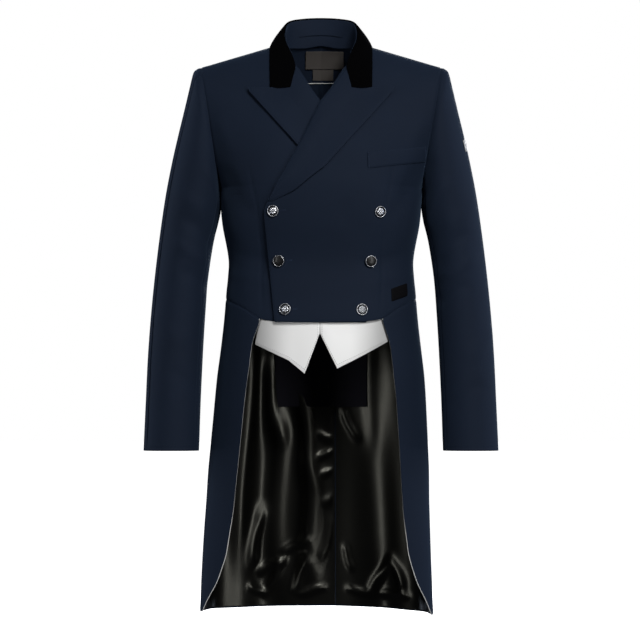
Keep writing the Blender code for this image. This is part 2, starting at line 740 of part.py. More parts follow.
def stand_rows():
    """Inner stand from its foot on the neckline to just under the crest."""
    rows = []
    for entry in COLLAR:
        if entry.foot is None:
            continue
        crest, foot = Vector(entry.crest), Vector(entry.foot)
        inward = Vector((-crest.x, NECK_MIDDLE.y - crest.y, 0.0)).normalized()
        top = crest + inward * STAND_IN - Vector((0.0, 0.0, STAND_DOWN))
        rows.append([foot.lerp(top, column / STAND_ACROSS) for column in range(STAND_ACROSS + 1)])
    return finer(both_halves(rows), COLLAR_FINE)


def waistcoat_grid(side):
    """False waistcoat point hanging behind the front's hem."""
    feet = POINT_FEET[side]
    span = feet[-1].x - feet[0].x
    lines = []
    for start, end in zip(feet, feet[1:]):
        lines += [Vector(start).lerp(Vector(end), part / POINT_PARTS) for part in range(POINT_PARTS)]
    lines.append(Vector(feet[-1]))
    grid = []
    for row in range(POINT_ROWS + 1):
        line = []
        for foot in lines:
            top_x = feet[0].x + (POINT_TOP_WIDE - feet[0].x) * (foot.x - feet[0].x) / span
            spot = Vector((top_x, POINT_TOP_Z)).lerp(foot, row / POINT_ROWS)
            line.append(on_front(spot.x, spot.y, -POINT_DEPTH))
        grid.append(line)
    return mirrored(grid, side)


def inside_back_grid(half, middle_x, heights, lifts, columns):
    """Piece lying inside the back, with its own depth at each height."""
    return [[on_back(middle_x + half * (2.0 * column / columns - 1.0), z, lift)
             for column in range(columns + 1)] for z, lift in zip(heights, lifts)]


def label_grid(label):
    """Flat label inside the back neck."""
    heights = [label.top_z + (label.foot_z - label.top_z) * row / LABEL_ROWS
               for row in range(LABEL_ROWS + 1)]
    return inside_back_grid(label.width / 2.0, label.middle_x, heights, [label.lift] * len(heights),
                            LABEL_COLUMNS)


def build_body(coat, finish):
    """Fronts, backs, tails and their linings."""
    for side, word in ((1, "left"), (-1, "right")):
        sheet("front_" + word, front_grid(side), WOOL, finish["navy_wool"], coat)
        sheet("back_" + word, back_grid(side), WOOL, finish["navy_wool"], coat)
        spots = tail_spots(side)
        sheet("tail_" + word, tail_grid(side, spots, 0.0), WOOL, finish["navy_wool"], coat)
        inner = [row[1:-1] for row in spots[:-1]]
        sheet("tail_lining_" + word, tail_grid(side, inner, -WOOL - LINING_CLEAR), LINING,
              finish["black_satin"], coat)
        edge = [[(cutaway_turn(row[0][1]), row[0][1])] for row in spots]
        cord("piping_" + word, [row[0] for row in tail_grid(side, edge, -WOOL / 2.0)], PIPING,
             finish["white_piping"], coat)
    grid = inside_back_grid(WAIST_LINING_HALF, 0.0, [drop.z for drop in WAIST_LINING],
                            [drop.lift for drop in WAIST_LINING], WAIST_LINING_COLUMNS)
    sheet("waist_lining", grid, LINING, finish["black_lining"], coat)


def build_sleeves(coat, finish):
    """Two sleeves whose first ring faces the armhole."""
    around = 2 * ARM_STEPS
    for side, word in ((1, "left"), (-1, "right")):
        grid = [[sleeve_point(side, 2.0 * math.pi * column / around, float(ring))
                 for column in range(around)] for ring in range(len(SLEEVE))]
        sheet("sleeve_" + word, grid, WOOL, finish["navy_wool"], coat, sleeve_axis(side), True)
    tab = [[sleeve_point(1, angle, ring, LAYER + LABEL_WALL)
            for angle in (TAB_ANGLES[0], sum(TAB_ANGLES) / 2.0, TAB_ANGLES[1])] for ring in TAB_RINGS]
    sheet("sleeve_badge", tab, LABEL_WALL, finish["white_satin"], coat, sleeve_axis(1))


def build_collar(coat, finish):
    """Lapels, velvet collar, its stand and the hanger loop."""
    for side, word in ((1, "left"), (-1, "right")):
        sheet("lapel_" + word, lapel_grid(side), WOOL, finish["navy_wool"], coat)
    sheet("collar_fall", collar_rows(), VELVET, finish["black_velvet"], coat)
    stand = stand_rows()
    sheet("collar_stand", stand, WOOL, finish["navy_wool"], coat)
    middle = len(stand) // 2
    loop = []
    for step in range(-LOOP_HALF, LOOP_HALF + 1):
        foot, top = stand[middle + step][0], stand[middle + step][-1]
        point = foot.lerp(top, LOOP_RISE)
        inward = Vector((-point.x, NECK_MIDDLE.y - point.y, 0.0)).normalized()
        bow = LOOP_BOW * (1.0 - abs(step) / LOOP_HALF)
        loop.append(point + inward * (WOOL + LOOP_CORD + LOOP_CLEAR + bow))
    cord("hanger_loop", loop, LOOP_CORD, finish["navy_wool"], coat)


def build_trim(coat, finish):
    """Welt, patch, buttons, waistcoat points, labels and the facing's piping."""
    sheet("pocket_welt", patch_grid(WELT_TOP, WELT_FOOT, WELT_COLUMNS, WOOL), WOOL,
          finish["navy_wool"], coat)
    sheet("waist_patch", patch_grid(PATCH_TOP, PATCH_FOOT, PATCH_COLUMNS, LABEL_WALL), LABEL_WALL,
          finish["black_tab"], coat)
    for number, spot in enumerate(BUTTONS, 1):
        lift = front_lift(1, spot.x, spot.z) + spot.seat
        place = on_front(spot.x, spot.z, lift)
        facing = on_front(spot.x, spot.z, lift + BUTTON_AIM) - place
        enamelled = number in ENAMELLED
        turned("button_%d" % number, CUP_PROFILE if enamelled else BUTTON_PROFILE, place, facing,
               finish["silver_metal"], coat)
        if enamelled:
            turned("button_%d_enamel" % number, ENAMEL_PROFILE, place, facing,
                   finish["black_enamel"], coat)
    for side, word in ((1, "left"), (-1, "right")):
        sheet("waistcoat_point_" + word, waistcoat_grid(side), SATIN, finish["white_satin"], coat)
    for name, label in (("neck_label", NECK_LABEL), ("size_label", SIZE_LABEL)):
        sheet(name, label_grid(label), LABEL_WALL, finish["label_weave"], coat)
    line = inside_back_grid(FACING_PIPING.width / 2.0, 0.0, [FACING_PIPING.top_z],
                            [FACING_PIPING.lift], PIPING_STEPS)[0]
    cord("facing_piping", line, PIPING, finish["white_piping"], coat)


def main():
    """Build the coat."""
    coat = clear_scene()
    finish = {name: make_material(name) for name in COLOURS}
    build_body(coat, finish)
    build_sleeves(coat, finish)
    build_collar(coat, finish)
    build_trim(coat, finish)


main()
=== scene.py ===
"""Looks of the riding tailcoat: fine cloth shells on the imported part's form, with their finishes."""
import logging
import math
from dataclasses import dataclass, field
from enum import Enum

import bpy
import numpy as np
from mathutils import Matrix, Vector


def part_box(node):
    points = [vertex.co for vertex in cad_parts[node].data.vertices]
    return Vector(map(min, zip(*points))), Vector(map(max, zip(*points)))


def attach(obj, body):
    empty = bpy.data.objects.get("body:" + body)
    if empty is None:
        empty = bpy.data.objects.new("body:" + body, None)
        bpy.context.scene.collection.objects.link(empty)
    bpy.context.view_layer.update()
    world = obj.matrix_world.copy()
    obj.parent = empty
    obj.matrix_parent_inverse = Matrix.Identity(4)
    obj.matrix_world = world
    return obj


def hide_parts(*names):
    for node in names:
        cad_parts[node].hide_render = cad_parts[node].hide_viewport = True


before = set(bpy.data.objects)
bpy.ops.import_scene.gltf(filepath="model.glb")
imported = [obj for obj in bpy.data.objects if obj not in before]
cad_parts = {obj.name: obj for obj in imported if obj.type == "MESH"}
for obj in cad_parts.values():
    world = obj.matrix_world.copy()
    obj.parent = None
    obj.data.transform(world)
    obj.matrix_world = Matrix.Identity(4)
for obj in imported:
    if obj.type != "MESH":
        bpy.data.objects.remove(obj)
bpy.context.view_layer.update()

LOG = logging.getLogger("tailcoat")
Array = np.ndarray
Finishes = dict[str, bpy.types.Material]
BODY = "root"

# Walls, gaps and layers of the cloth, in metres
WOOL = 0.0014
LINING = 0.0010
SATIN = 0.0012
VELVET = 0.0018
SEAM = 0.0003
WAIST_GAP = 0.0013
LAYER = 0.0009
PIPING = 0.00068
LABEL = 0.0008


class Face(Enum):
    """Front or back of the coat's form."""

    FRONT = "front"
    BACK = "back"

    @property
    def other(self) -> "Face":
        """The opposite face."""
        return Face.BACK if self is Face.FRONT else Face.FRONT


class Side(Enum):
    """Wearer's left, towards +X, or right."""

    LEFT = 1
    RIGHT = -1

    @property
    def word(self) -> str:
        """Ending of this side's node names."""
        return "left" if self is Side.LEFT else "right"


@dataclass(frozen=True)
class Level:
    """One level of the form: middle of each face, half width, side seam's depth and roundness."""

    front_z: float
    front_y: float
    back_z: float
    back_y: float
    half: float
    side_y: float
    wrap: float


LEVELS = (
    Level(+0.022, +0.005, +0.022, +0.005, 0.205, 0.006, 0.80),
    Level(-0.020, -0.040, +0.006, +0.062, 0.202, 0.006, 0.80),
    Level(-0.080, -0.078, -0.060, +0.088, 0.193, 0.006, 0.85),
    Level(-0.150, -0.103, -0.140, +0.108, 0.183, 0.006, 0.90),
    Level(-0.212, -0.115, -0.205, +0.112, 0.174, 0.006, 0.97),
    Level(-0.245, -0.118, -0.245, +0.110, 0.171, 0.006, 1.00),
    Level(-0.300, -0.112, -0.300, +0.103, 0.168, 0.004, 1.00),
    Level(-0.367, -0.098, -0.367, +0.085, 0.157, 0.002, 1.00),
    Level(-0.420, -0.102, -0.420, +0.097, 0.161, 0.000, 1.00),
    Level(-0.469, -0.110, -0.469, +0.112, 0.165, 0.000, 1.00),
    Level(-0.560, -0.120, -0.560, +0.130, 0.175, 0.000, 1.00),
    Level(-0.680, -0.118, -0.680, +0.135, 0.184, 0.000, 1.00),
    Level(-0.800, -0.110, -0.800, +0.138, 0.192, 0.000, 1.00),
    Level(-0.970, -0.100, -0.970, +0.140, 0.200, 0.000, 1.00),
)
ARM_LEVEL = 5
ARM_CENTRE = np.array([0.188, 0.006, -0.141])
ARM_RISE = np.array([0.017, 0.0, 0.104])
ARM_DEPTH = 0.056
ROUNDNESS = {Face.FRONT: 2.3, Face.BACK: 2.7}
HALVINGS = 26
FINE_STEPS = 900
INNER_REACH = 0.9
SETTLINGS = 6
NORMAL_STEP = 0.004
# Softening of the form across the level of the underarm: reach, share left sharp at the side, spread
UNDERARM_REACH = 0.70
UNDERARM_SHARP = 0.03
UNDERARM_SPREAD = 0.42
UNDERARM_STEPS = (-0.9, -0.5, -0.15, 0.15, 0.5, 0.9)

# Upper front's inner edge as z and x: neck, roll line, then the overlap's edge
FRONT_EDGE = ((+0.004, 0.0780), (-0.020, 0.0580), (-0.036, 0.0400), (-0.0755, 0.0150),
              (-0.098, -0.0026), (-0.173, -0.0396), (-0.245, -0.0806), (-0.281, -0.0960),
              (-0.343, -0.0900), (-0.4085, -0.0836), (-0.480, -0.0765))
EDGE_SOFTNESS = 0.006
CUTAWAY_SOFTNESS = 0.010
WAIST_SOFTNESS = 0.03
UPPER_LIFT = 0.0030
LOWER_SINK = 0.0034
OVERLAP_EASE = 0.050
BACK_NECK_WIDTH = 0.077

# Waist seam: share of the half width, its height in front and behind
WAIST_SEAM = ((-1.00, -0.469, -0.425), (0.00, -0.469, -0.425), (0.45, -0.468, -0.426),
              (0.624, -0.464, -0.427), (0.81, -0.444, -0.428), (1.00, -0.430, -0.430))
# Cutaway edge of the tails as z and x
CUTAWAY = ((-0.425, 0.1025), (-0.465, 0.1030), (-0.505, 0.1170), (-0.600, 0.1285), (-0.700, 0.1370),
           (-0.790, 0.1445), (-0.865, 0.1555), (-0.910, 0.1700), (-0.940, 0.1850), (-0.970, 0.1960))


def ease(value: Array | float) -> Array:
    """Smooth step from 0 to 1."""
    value = np.clip(value, 0.0, 1.0)
    return value * value * (3.0 - 2.0 * value)


def catmull(before: Array, start: Array, end: Array, after: Array, share: Array) -> Array:
    """Catmull-Rom value between start and end."""
    return 0.5 * (2.0 * start + (end - before) * share
                  + (2.0 * before - 5.0 * start + 4.0 * end - after) * share ** 2
                  + (3.0 * start - before - 3.0 * end + after) * share ** 3)


def smooth_table(at: Array, keys: Array, values: Array, softness: float) -> Array:
    """Straight-line table value with its corners rounded.

    Args:
        at: Keys to look up.
        keys: The table's keys, rising or falling.
        values: The table's values.
        softness: Reach of the rounding on each side of a corner.
    Returns:
        One value for each key looked up.
    """
    order = np.argsort(keys)
    offsets = np.linspace(-1.0, 1.0, 7) * softness
    return np.mean([np.interp(at + offset, keys[order], values[order]) for offset in offsets], axis=0)


def turn_of(share: Array) -> Array:
    """Turn round the coat for a share of the half width, 1 at the side."""
    return np.arcsin(np.clip(share, -1.0, 1.0)) * 2.0 / math.pi


def share_of(turn: Array) -> Array:
    """Share of the half width at a turn, 1 at the side and 2 at the centre back."""
    return np.sin(np.where(turn <= 1.0, turn, 2.0 - turn) * math.pi / 2.0)


def unit(vectors: Array) -> Array:
    """Vectors scaled to length 1."""
    return vectors / np.maximum(np.linalg.norm(vectors, axis=-1, keepdims=True), 1e-12)


class Form:
    """The coat's form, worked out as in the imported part."""

    def __init__(self) -> None:
        """Pad the level table at its ends for the splines."""
        self.tables = {}
        for face in Face:
            rows = [self.row(level, face) for level in LEVELS]
            self.tables[face] = np.array([self.row(LEVELS[1], face.other), *rows, rows[-1]])
        self.fine_levels = np.linspace(ARM_LEVEL, len(LEVELS) - 1.0, FINE_STEPS)
        self.fine_z = self.values(Face.FRONT, self.fine_levels)[..., 0]
        edge = np.array(FRONT_EDGE)
        self.edge_z, self.edge_x = edge[:, 0], edge[:, 1]
        self.waist = np.array(WAIST_SEAM)
        self.cutaway = np.array(CUTAWAY)

    @staticmethod
    def row(level: Level, face: Face) -> tuple[float, ...]:
        """One face's columns of a level: z, y, half width, side's depth and wrap."""
        return (getattr(level, face.value + "_z"), getattr(level, face.value + "_y"),
                level.half, level.side_y, level.wrap)

    def values(self, face: Face, level: Array) -> Array:
        """Columns of the level table, smooth between levels."""
        level = np.asarray(level, float)
        base = np.clip(np.floor(level).astype(int), 0, len(LEVELS) - 2)
        four = [self.tables[face][base + step] for step in range(4)]
        return catmull(*four, (level - base)[..., None])

    def side_point(self, face: Face, level: Array, columns: Array) -> Array:
        """Outer end of a level: on the armhole, and on the side seam below it."""
        angle = math.pi * np.minimum(level, ARM_LEVEL) / ARM_LEVEL
        depth = ARM_DEPTH * (-1.0 if face is Face.FRONT else 1.0)
        arm = (ARM_CENTRE + np.cos(angle)[..., None] * ARM_RISE
               + np.sin(angle)[..., None] * np.array([0.0, depth, 0.0]))
        seam = columns[..., [2, 3, 0]]
        return np.where((level <= ARM_LEVEL)[..., None], arm, seam)

    def bare(self, face: Face, share: Array, level: Array) -> Array:
        """Points of the form, softened under the arm; share is 0 at the middle and 1 at the side."""
        share, level = np.broadcast_arrays(np.asarray(share, float), np.asarray(level, float))
        spread = (UNDERARM_SPREAD * np.exp(-((level - ARM_LEVEL) / UNDERARM_REACH) ** 2)
                  * ease((1.0 - np.abs(share)) / UNDERARM_SHARP))
        return sum(self.sharp(face, share, level + spread * step)
                   for step in UNDERARM_STEPS) / len(UNDERARM_STEPS)

    def sharp(self, face: Face, share: Array, level: Array) -> Array:
        """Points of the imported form."""
        columns = self.values(face, level)
        z, y, wrap = columns[..., 0], columns[..., 1], np.minimum(columns[..., 4], 1.0)
        power = ROUNDNESS[face]
        out = np.minimum(np.abs(share), 1.0)
        rise = 1.0 - np.maximum(1.0 - (wrap * out) ** power, 0.0) ** (1.0 / power)
        full = 1.0 - (1.0 - wrap ** power) ** (1.0 / power)
        side = self.side_point(face, level, columns)
        return np.stack([side[..., 0] * share, y + (side[..., 1] - y) * rise / full,
                         z + (side[..., 2] - z) * out], axis=-1)

    def surface(self, face: Face, share: Array, level: Array, lift: Array | float = 0.0) -> Array:
        """Points of the form moved out of its surface by a lift."""
        share, level = np.broadcast_arrays(np.asarray(share, float), np.asarray(level, float))
        across = (self.bare(face, np.minimum(share + NORMAL_STEP, 1.0), level)
                  - self.bare(face, np.maximum(share - NORMAL_STEP, -1.0), level))
        down = (self.bare(face, share, level + NORMAL_STEP)
                - self.bare(face, share, np.maximum(level - NORMAL_STEP, 0.0)))
        normal = np.cross(down, across) if face is Face.FRONT else np.cross(across, down)
        return self.bare(face, share, level) + unit(normal) * np.asarray(lift)[..., None]

    def locate(self, face: Face, x: Array, z: Array) -> tuple[Array, Array]:
        """Shares and levels of the surface points that show at x and z."""
        x, z = np.broadcast_arrays(np.asarray(x, float), np.asarray(z, float))
        low, high = np.zeros(x.shape), np.full(x.shape, len(LEVELS) - 1.0)
        for _ in range(HALVINGS):
            level = 0.5 * (low + high)
            side = self.side_point(face, level, self.values(face, level))
            share = np.clip(x / side[..., 0], -1.0, 1.0)
            above = self.bare(face, share, level)[..., 2] > z
            low, high = np.where(above, level, low), np.where(above, high, level)
        return share, level

    def at(self, face: Face, x: Array, z: Array, lift: Array | float = 0.0) -> Array:
        """Points over a face at x and z; a negative lift is inside the coat."""
        share, level = self.locate(face, x, z)
        return self.surface(face, share, level, lift)

    def level_at(self, z: Array) -> Array:
        """Levels whose middles lie at z, below the arms."""
        return np.interp(-z, -self.fine_z, self.fine_levels)

    def edge(self, z: Array) -> Array:
        """The upper front's inner edge at z."""
        return smooth_table(z, self.edge_z, self.edge_x, EDGE_SOFTNESS)

    def front_lift(self, side: Side, x: Array, z: Array) -> Array:
        """How far a front stands out of the form, on its own side's x."""
        lap = ease((OVERLAP_EASE - self.edge(z) - x) / OVERLAP_EASE)
        return (UPPER_LIFT if side is Side.LEFT else -LOWER_SINK) * lap

    def seam_z(self, share: Array, face: Face) -> Array:
        """Height of the waist seam at a share of the half width."""
        column = 1 if face is Face.FRONT else 2
        return smooth_table(share, self.waist[:, 0], self.waist[:, column], WAIST_SOFTNESS)

    def inner_turn(self, level: Array) -> Array:
        """Turn at which a level meets the front's inner edge."""
        columns = self.values(Face.FRONT, level)
        side = self.side_point(Face.FRONT, level, columns)
        low, high = np.full(level.shape, -INNER_REACH), np.full(level.shape, INNER_REACH)
        for _ in range(HALVINGS):
            share = 0.5 * (low + high)
            z = columns[..., 0] + (side[..., 2] - columns[..., 0]) * np.abs(share)
            short = side[..., 0] * share < self.edge(z)
            low, high = np.where(short, share, low), np.where(short, high, share)
        return turn_of(share)

    def cutaway_turn(self, z: Array) -> Array:
        """Turn of the tail's front edge at z."""
        half = self.values(Face.FRONT, self.level_at(z))[..., 2]
        return turn_of(smooth_table(z, self.cutaway[:, 0], self.cutaway[:, 1], CUTAWAY_SOFTNESS) / half)


FORM = Form()


@dataclass(frozen=True)
class Crease:
    """Soft trough or ridge along a line between two places of a panel, fading at both ends."""

    start: tuple[float, float]
    end: tuple[float, float]
    width: float
    depth: float

    def lift(self, first: Array, second: Array) -> Array:
        """Height of the crease over the panel at two panel coordinates in metres."""
        start, run = np.array(self.start), np.array(self.end) - np.array(self.start)
        length = float(np.hypot(*run))
        along = ((first - start[0]) * run[0] + (second - start[1]) * run[1]) / length ** 2
        off = ((first - start[0]) * -run[1] + (second - start[1]) * run[0]) / length
        wander = 0.25 * self.width * np.sin(7.0 * along + 40.0 * self.depth / self.width)
        fade = ease(along / 0.35 + 0.35) * ease((1.0 - along) / 0.35 + 0.35)
        return self.depth * fade * np.exp(-0.5 * ((off - wander) / self.width) ** 2)


def crease_rows(*rows: tuple[float, ...]) -> tuple[Crease, ...]:
    """Creases from rows in millimetres: start and end, both across and up, then width and depth."""
    return tuple(Crease((a / 1000.0, b / 1000.0), (c / 1000.0, d / 1000.0), width / 1000.0, depth / 1000.0)
                 for a, b, c, d, width, depth in rows)


def creases_lift(creases: tuple[Crease, ...], first: Array, second: Array) -> Array:
    """Sum of the creases' heights."""
    return sum((crease.lift(first, second) for crease in creases), np.zeros(np.shape(first)))


def grid_normals(grid: Array, closed: bool = False) -> Array:
    """Unit normals of a grid of points, down the rows crossed with along them."""
    if closed:
        across = np.roll(grid, -1, axis=1) - np.roll(grid, 1, axis=1)
    else:
        across = np.gradient(grid, axis=1)
    down = np.gradient(grid, axis=0)
    return unit(np.cross(down, across))


def outward_sign(grid: Array, normals: Array, middle: Array) -> float:
    """1 where the normals face away from the middle, else -1."""
    return 1.0 if float(np.sum(normals * (grid - middle))) > 0.0 else -1.0


def body_middle(grid: Array) -> Array:
    """Points on the coat's upright axis level with the grid."""
    return grid * np.array([0.0, 0.0, 1.0])


def arc_uv(grid: Array) -> Array:
    """UVs in metres: lengths along the rows from their middle and down the columns."""
    across = np.linalg.norm(np.diff(grid, axis=1), axis=-1)
    down = np.linalg.norm(np.diff(grid, axis=0), axis=-1)
    u = np.concatenate([np.zeros((grid.shape[0], 1)), np.cumsum(across, axis=1)], axis=1)
    v = np.concatenate([np.zeros((1, grid.shape[1])), np.cumsum(down, axis=0)], axis=0)
    middle = grid.shape[1] // 2
    return np.stack([u - u[:, middle:middle + 1], -v], axis=-1)


RIM_ANGLES = (math.pi * 0.25, math.pi * 0.5, math.pi * 0.75)


def in_scene(name: str, data: bpy.types.ID) -> bpy.types.Object:
    """New object of some data, linked to the scene."""
    thing = bpy.data.objects.new(name, data)
    bpy.context.scene.collection.objects.link(thing)
    return thing


def mesh_object(name: str, points: Array, faces: list[list[int]],
                uvs: Array | None = None) -> bpy.types.Object:
    """Smooth mesh object in the scene, with UVs for each face corner where they are given."""
    mesh = bpy.data.meshes.new(name)
    mesh.from_pydata(points.reshape(-1, 3).tolist(), [], faces)
    if uvs is not None:
        mesh.uv_layers.new(name="cloth").data.foreach_set("uv", uvs.reshape(-1))
    mesh.shade_smooth()
    return in_scene(name, mesh)


def capped(name: str, rings: Array, poles: Array) -> bpy.types.Object:
    """Closed mesh of rings of points, with one of the two poles beyond each end."""
    index = np.arange(rings.shape[0] * rings.shape[1]).reshape(rings.shape[:2])
    right, count = np.roll(index, -1, axis=1), index.size
    quads = np.stack([index[:-1], index[1:], right[1:], right[:-1]], -1).reshape(-1, 4).tolist()
    caps = [[count, a, b] for a, b in zip(index[0].tolist(), right[0].tolist())]
    caps += [[count + 1, b, a] for a, b in zip(index[-1].tolist(), right[-1].tolist())]
    return mesh_object(name, np.concatenate([rings.reshape(-1, 3), poles]), quads + caps)


def cell_corners(grid: Array) -> list[Array]:
    """The four corners of each cell of a grid, in order round the cell."""
    return [grid[:-1, :-1], grid[:-1, 1:], grid[1:, 1:], grid[1:, :-1]]


def shell(name: str, grid: Array, wall: float, middle: Array, closed: bool = False) -> bpy.types.Object:
    """Cloth with two faces and a rounded rim, from its outer face's grid of points.

    Args:
        name: The piece's name.
        grid: Rows and columns of points on the outer face.
        wall: Thickness, inwards.
        middle: Points that the outer face looks away from.
        closed: True where the columns run right round, as on a sleeve.
    Returns:
        The finished object.
    """
    rows, columns = grid.shape[:2]
    normals = grid_normals(grid, closed)
    sign = outward_sign(grid, normals, middle)
    normals = normals * sign
    uv_grid = arc_uv(np.concatenate([grid, grid[:, :1]], axis=1) if closed else grid)
    index = np.arange(rows * columns).reshape(rows, columns)
    wrapped = np.concatenate([index, index[:, :1]], axis=1) if closed else index
    quads = np.stack(cell_corners(wrapped), -1).reshape(-1, 4)
    corner_uv = np.stack(cell_corners(uv_grid), -2).reshape(-1, 4, 2)
    points = [grid.reshape(-1, 3), (grid - normals * wall).reshape(-1, 3)]
    faces, uvs = [quads, quads[:, ::-1] + rows * columns], [corner_uv, corner_uv[:, ::-1]]
    made = 2 * rows * columns
    for loop, outward, loop_uv in rim_loops(grid, wrapped, uv_grid, closed):
        outer, normal = grid.reshape(-1, 3)[loop], normals.reshape(-1, 3)[loop]
        outward = unit(outward - normal * np.sum(outward * normal, axis=-1, keepdims=True))
        strips = [loop]
        for angle in RIM_ANGLES:
            points.append(outer + normal * (wall / 2.0) * (math.cos(angle) - 1.0)
                          + outward * (wall / 2.0) * math.sin(angle))
            strips.append(np.arange(len(loop)) + made)
            made += len(loop)
        strips.append(loop + rows * columns)
        for near, far in zip(strips, strips[1:]):
            faces.append(np.stack([np.roll(near, -1), near, far, np.roll(far, -1)], -1))
            turned = np.roll(loop_uv, -1, axis=0)
            uvs.append(np.stack([turned, loop_uv, loop_uv, turned], -2))
    all_faces, all_uvs = np.concatenate(faces), np.concatenate(uvs)
    if sign > 0.0:
        all_faces, all_uvs = all_faces[:, ::-1], all_uvs[:, ::-1]
    return mesh_object(name, np.concatenate(points), all_faces.tolist(), np.ascontiguousarray(all_uvs))


def rim_loops(grid: Array, wrapped: Array, uv_grid: Array, closed: bool) -> list[tuple[Array, Array, Array]]:
    """Border loops of a grid: point numbers, outward directions and UVs, one loop or two."""
    if closed:
        top, foot = wrapped[0, :-1], wrapped[-1, :-1][::-1]
        return [(top, grid[0] - grid[1], uv_grid[0, :-1]),
                (foot, (grid[-1] - grid[-2])[::-1], uv_grid[-1, :-1][::-1])]
    out = np.zeros(grid.shape)
    out[0] += unit(grid[0] - grid[1])
    out[-1] += unit(grid[-1] - grid[-2])
    out[:, 0] += unit(grid[:, 0] - grid[:, 1])
    out[:, -1] += unit(grid[:, -1] - grid[:, -2])

    def ring(values: Array) -> Array:
        """Border values in order round the grid."""
        return np.concatenate([values[0, :-1], values[:-1, -1], values[-1, :0:-1], values[:0:-1, 0]])

    return [(ring(wrapped), ring(out), ring(uv_grid))]


def rolled(grid: Array, dips: dict[str, float], middle: Array | None = None, reach: float = 0.0022,
           share: Array | float = 1.0) -> Array:
    """Grid whose named borders roll inwards, as at a seam or a turned edge.

    Args:
        grid: Rows and columns of points on the outer face.
        dips: Depth of the roll at each border: top, foot, start or end.
        middle: Points that the outer face looks away from, or None for the coat's upright axis.
        reach: How far in from its border a roll reaches.
        share: Share of the roll that is left at each point.
    Returns:
        The rolled grid.
    """
    middle = body_middle(grid) if middle is None else middle
    normals = grid_normals(grid)
    normals *= outward_sign(grid, normals, middle)
    across = np.cumsum(np.linalg.norm(np.diff(grid, axis=1, prepend=grid[:, :1]), axis=-1), axis=1)
    down = np.cumsum(np.linalg.norm(np.diff(grid, axis=0, prepend=grid[:1]), axis=-1), axis=0)
    distance = {"start": across, "end": across[:, -1:] - across, "top": down, "foot": down[-1:] - down}
    dip = sum(depth * np.exp(-(distance[border] / reach) ** 2) for border, depth in dips.items())
    return grid - normals * (dip * share)[..., None]


def clustered(count: int, size: float, near: tuple[float, ...] = (0.0007, 0.0016, 0.0030, 0.0050)) -> Array:
    """Shares from 0 to 1, closer together near both ends of a length in metres."""
    ends = np.array(near) / size
    inner = np.linspace(ends[-1], 1.0 - ends[-1], count)
    return np.concatenate([[0.0], ends[:-1], inner, 1.0 - ends[:-1][::-1], [1.0]])


def mirrored(grid: Array, side: Side) -> Array:
    """Grid put on its own side of the coat."""
    return grid * np.array([side.value, 1.0, 1.0])


def dress(piece: bpy.types.Object, material: bpy.types.Material,
          nodes: tuple[str, ...] = ()) -> bpy.types.Object:
    """Give a piece its finish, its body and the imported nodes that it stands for."""
    if not piece.data.materials:
        piece.data.materials.append(material)
    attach(piece, BODY)
    if nodes:
        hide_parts(*nodes)
    LOG.info("%s dressed in %s", piece.name, material.name)
    return piece


@dataclass(frozen=True)
class Cut:
    """Piece of cloth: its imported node, its kind, finish and wall, its flat size and what it hangs on."""

    node: str
    kind: str
    finish: str
    wall: float
    flat: tuple[float, float]
    rests_on: tuple[str, ...]

    @property
    def name(self) -> str:
        """The piece's name."""
        return self.node + "_" + self.kind

    def make(self, grid: Array, finishes: Finishes, middle: Array | None = None,
             closed: bool = False) -> None:
        """Args:
            grid: Rows and columns of points on the outer face.
            finishes: The materials by their finish.
            middle: Points that the outer face looks away from, or None for the coat's upright axis.
            closed: True where the columns run right round.
        """
        middle = body_middle(grid) if middle is None else middle
        piece = shell(self.name, grid, self.wall, middle, closed)
        dress(piece, finishes[self.finish], (self.node,))


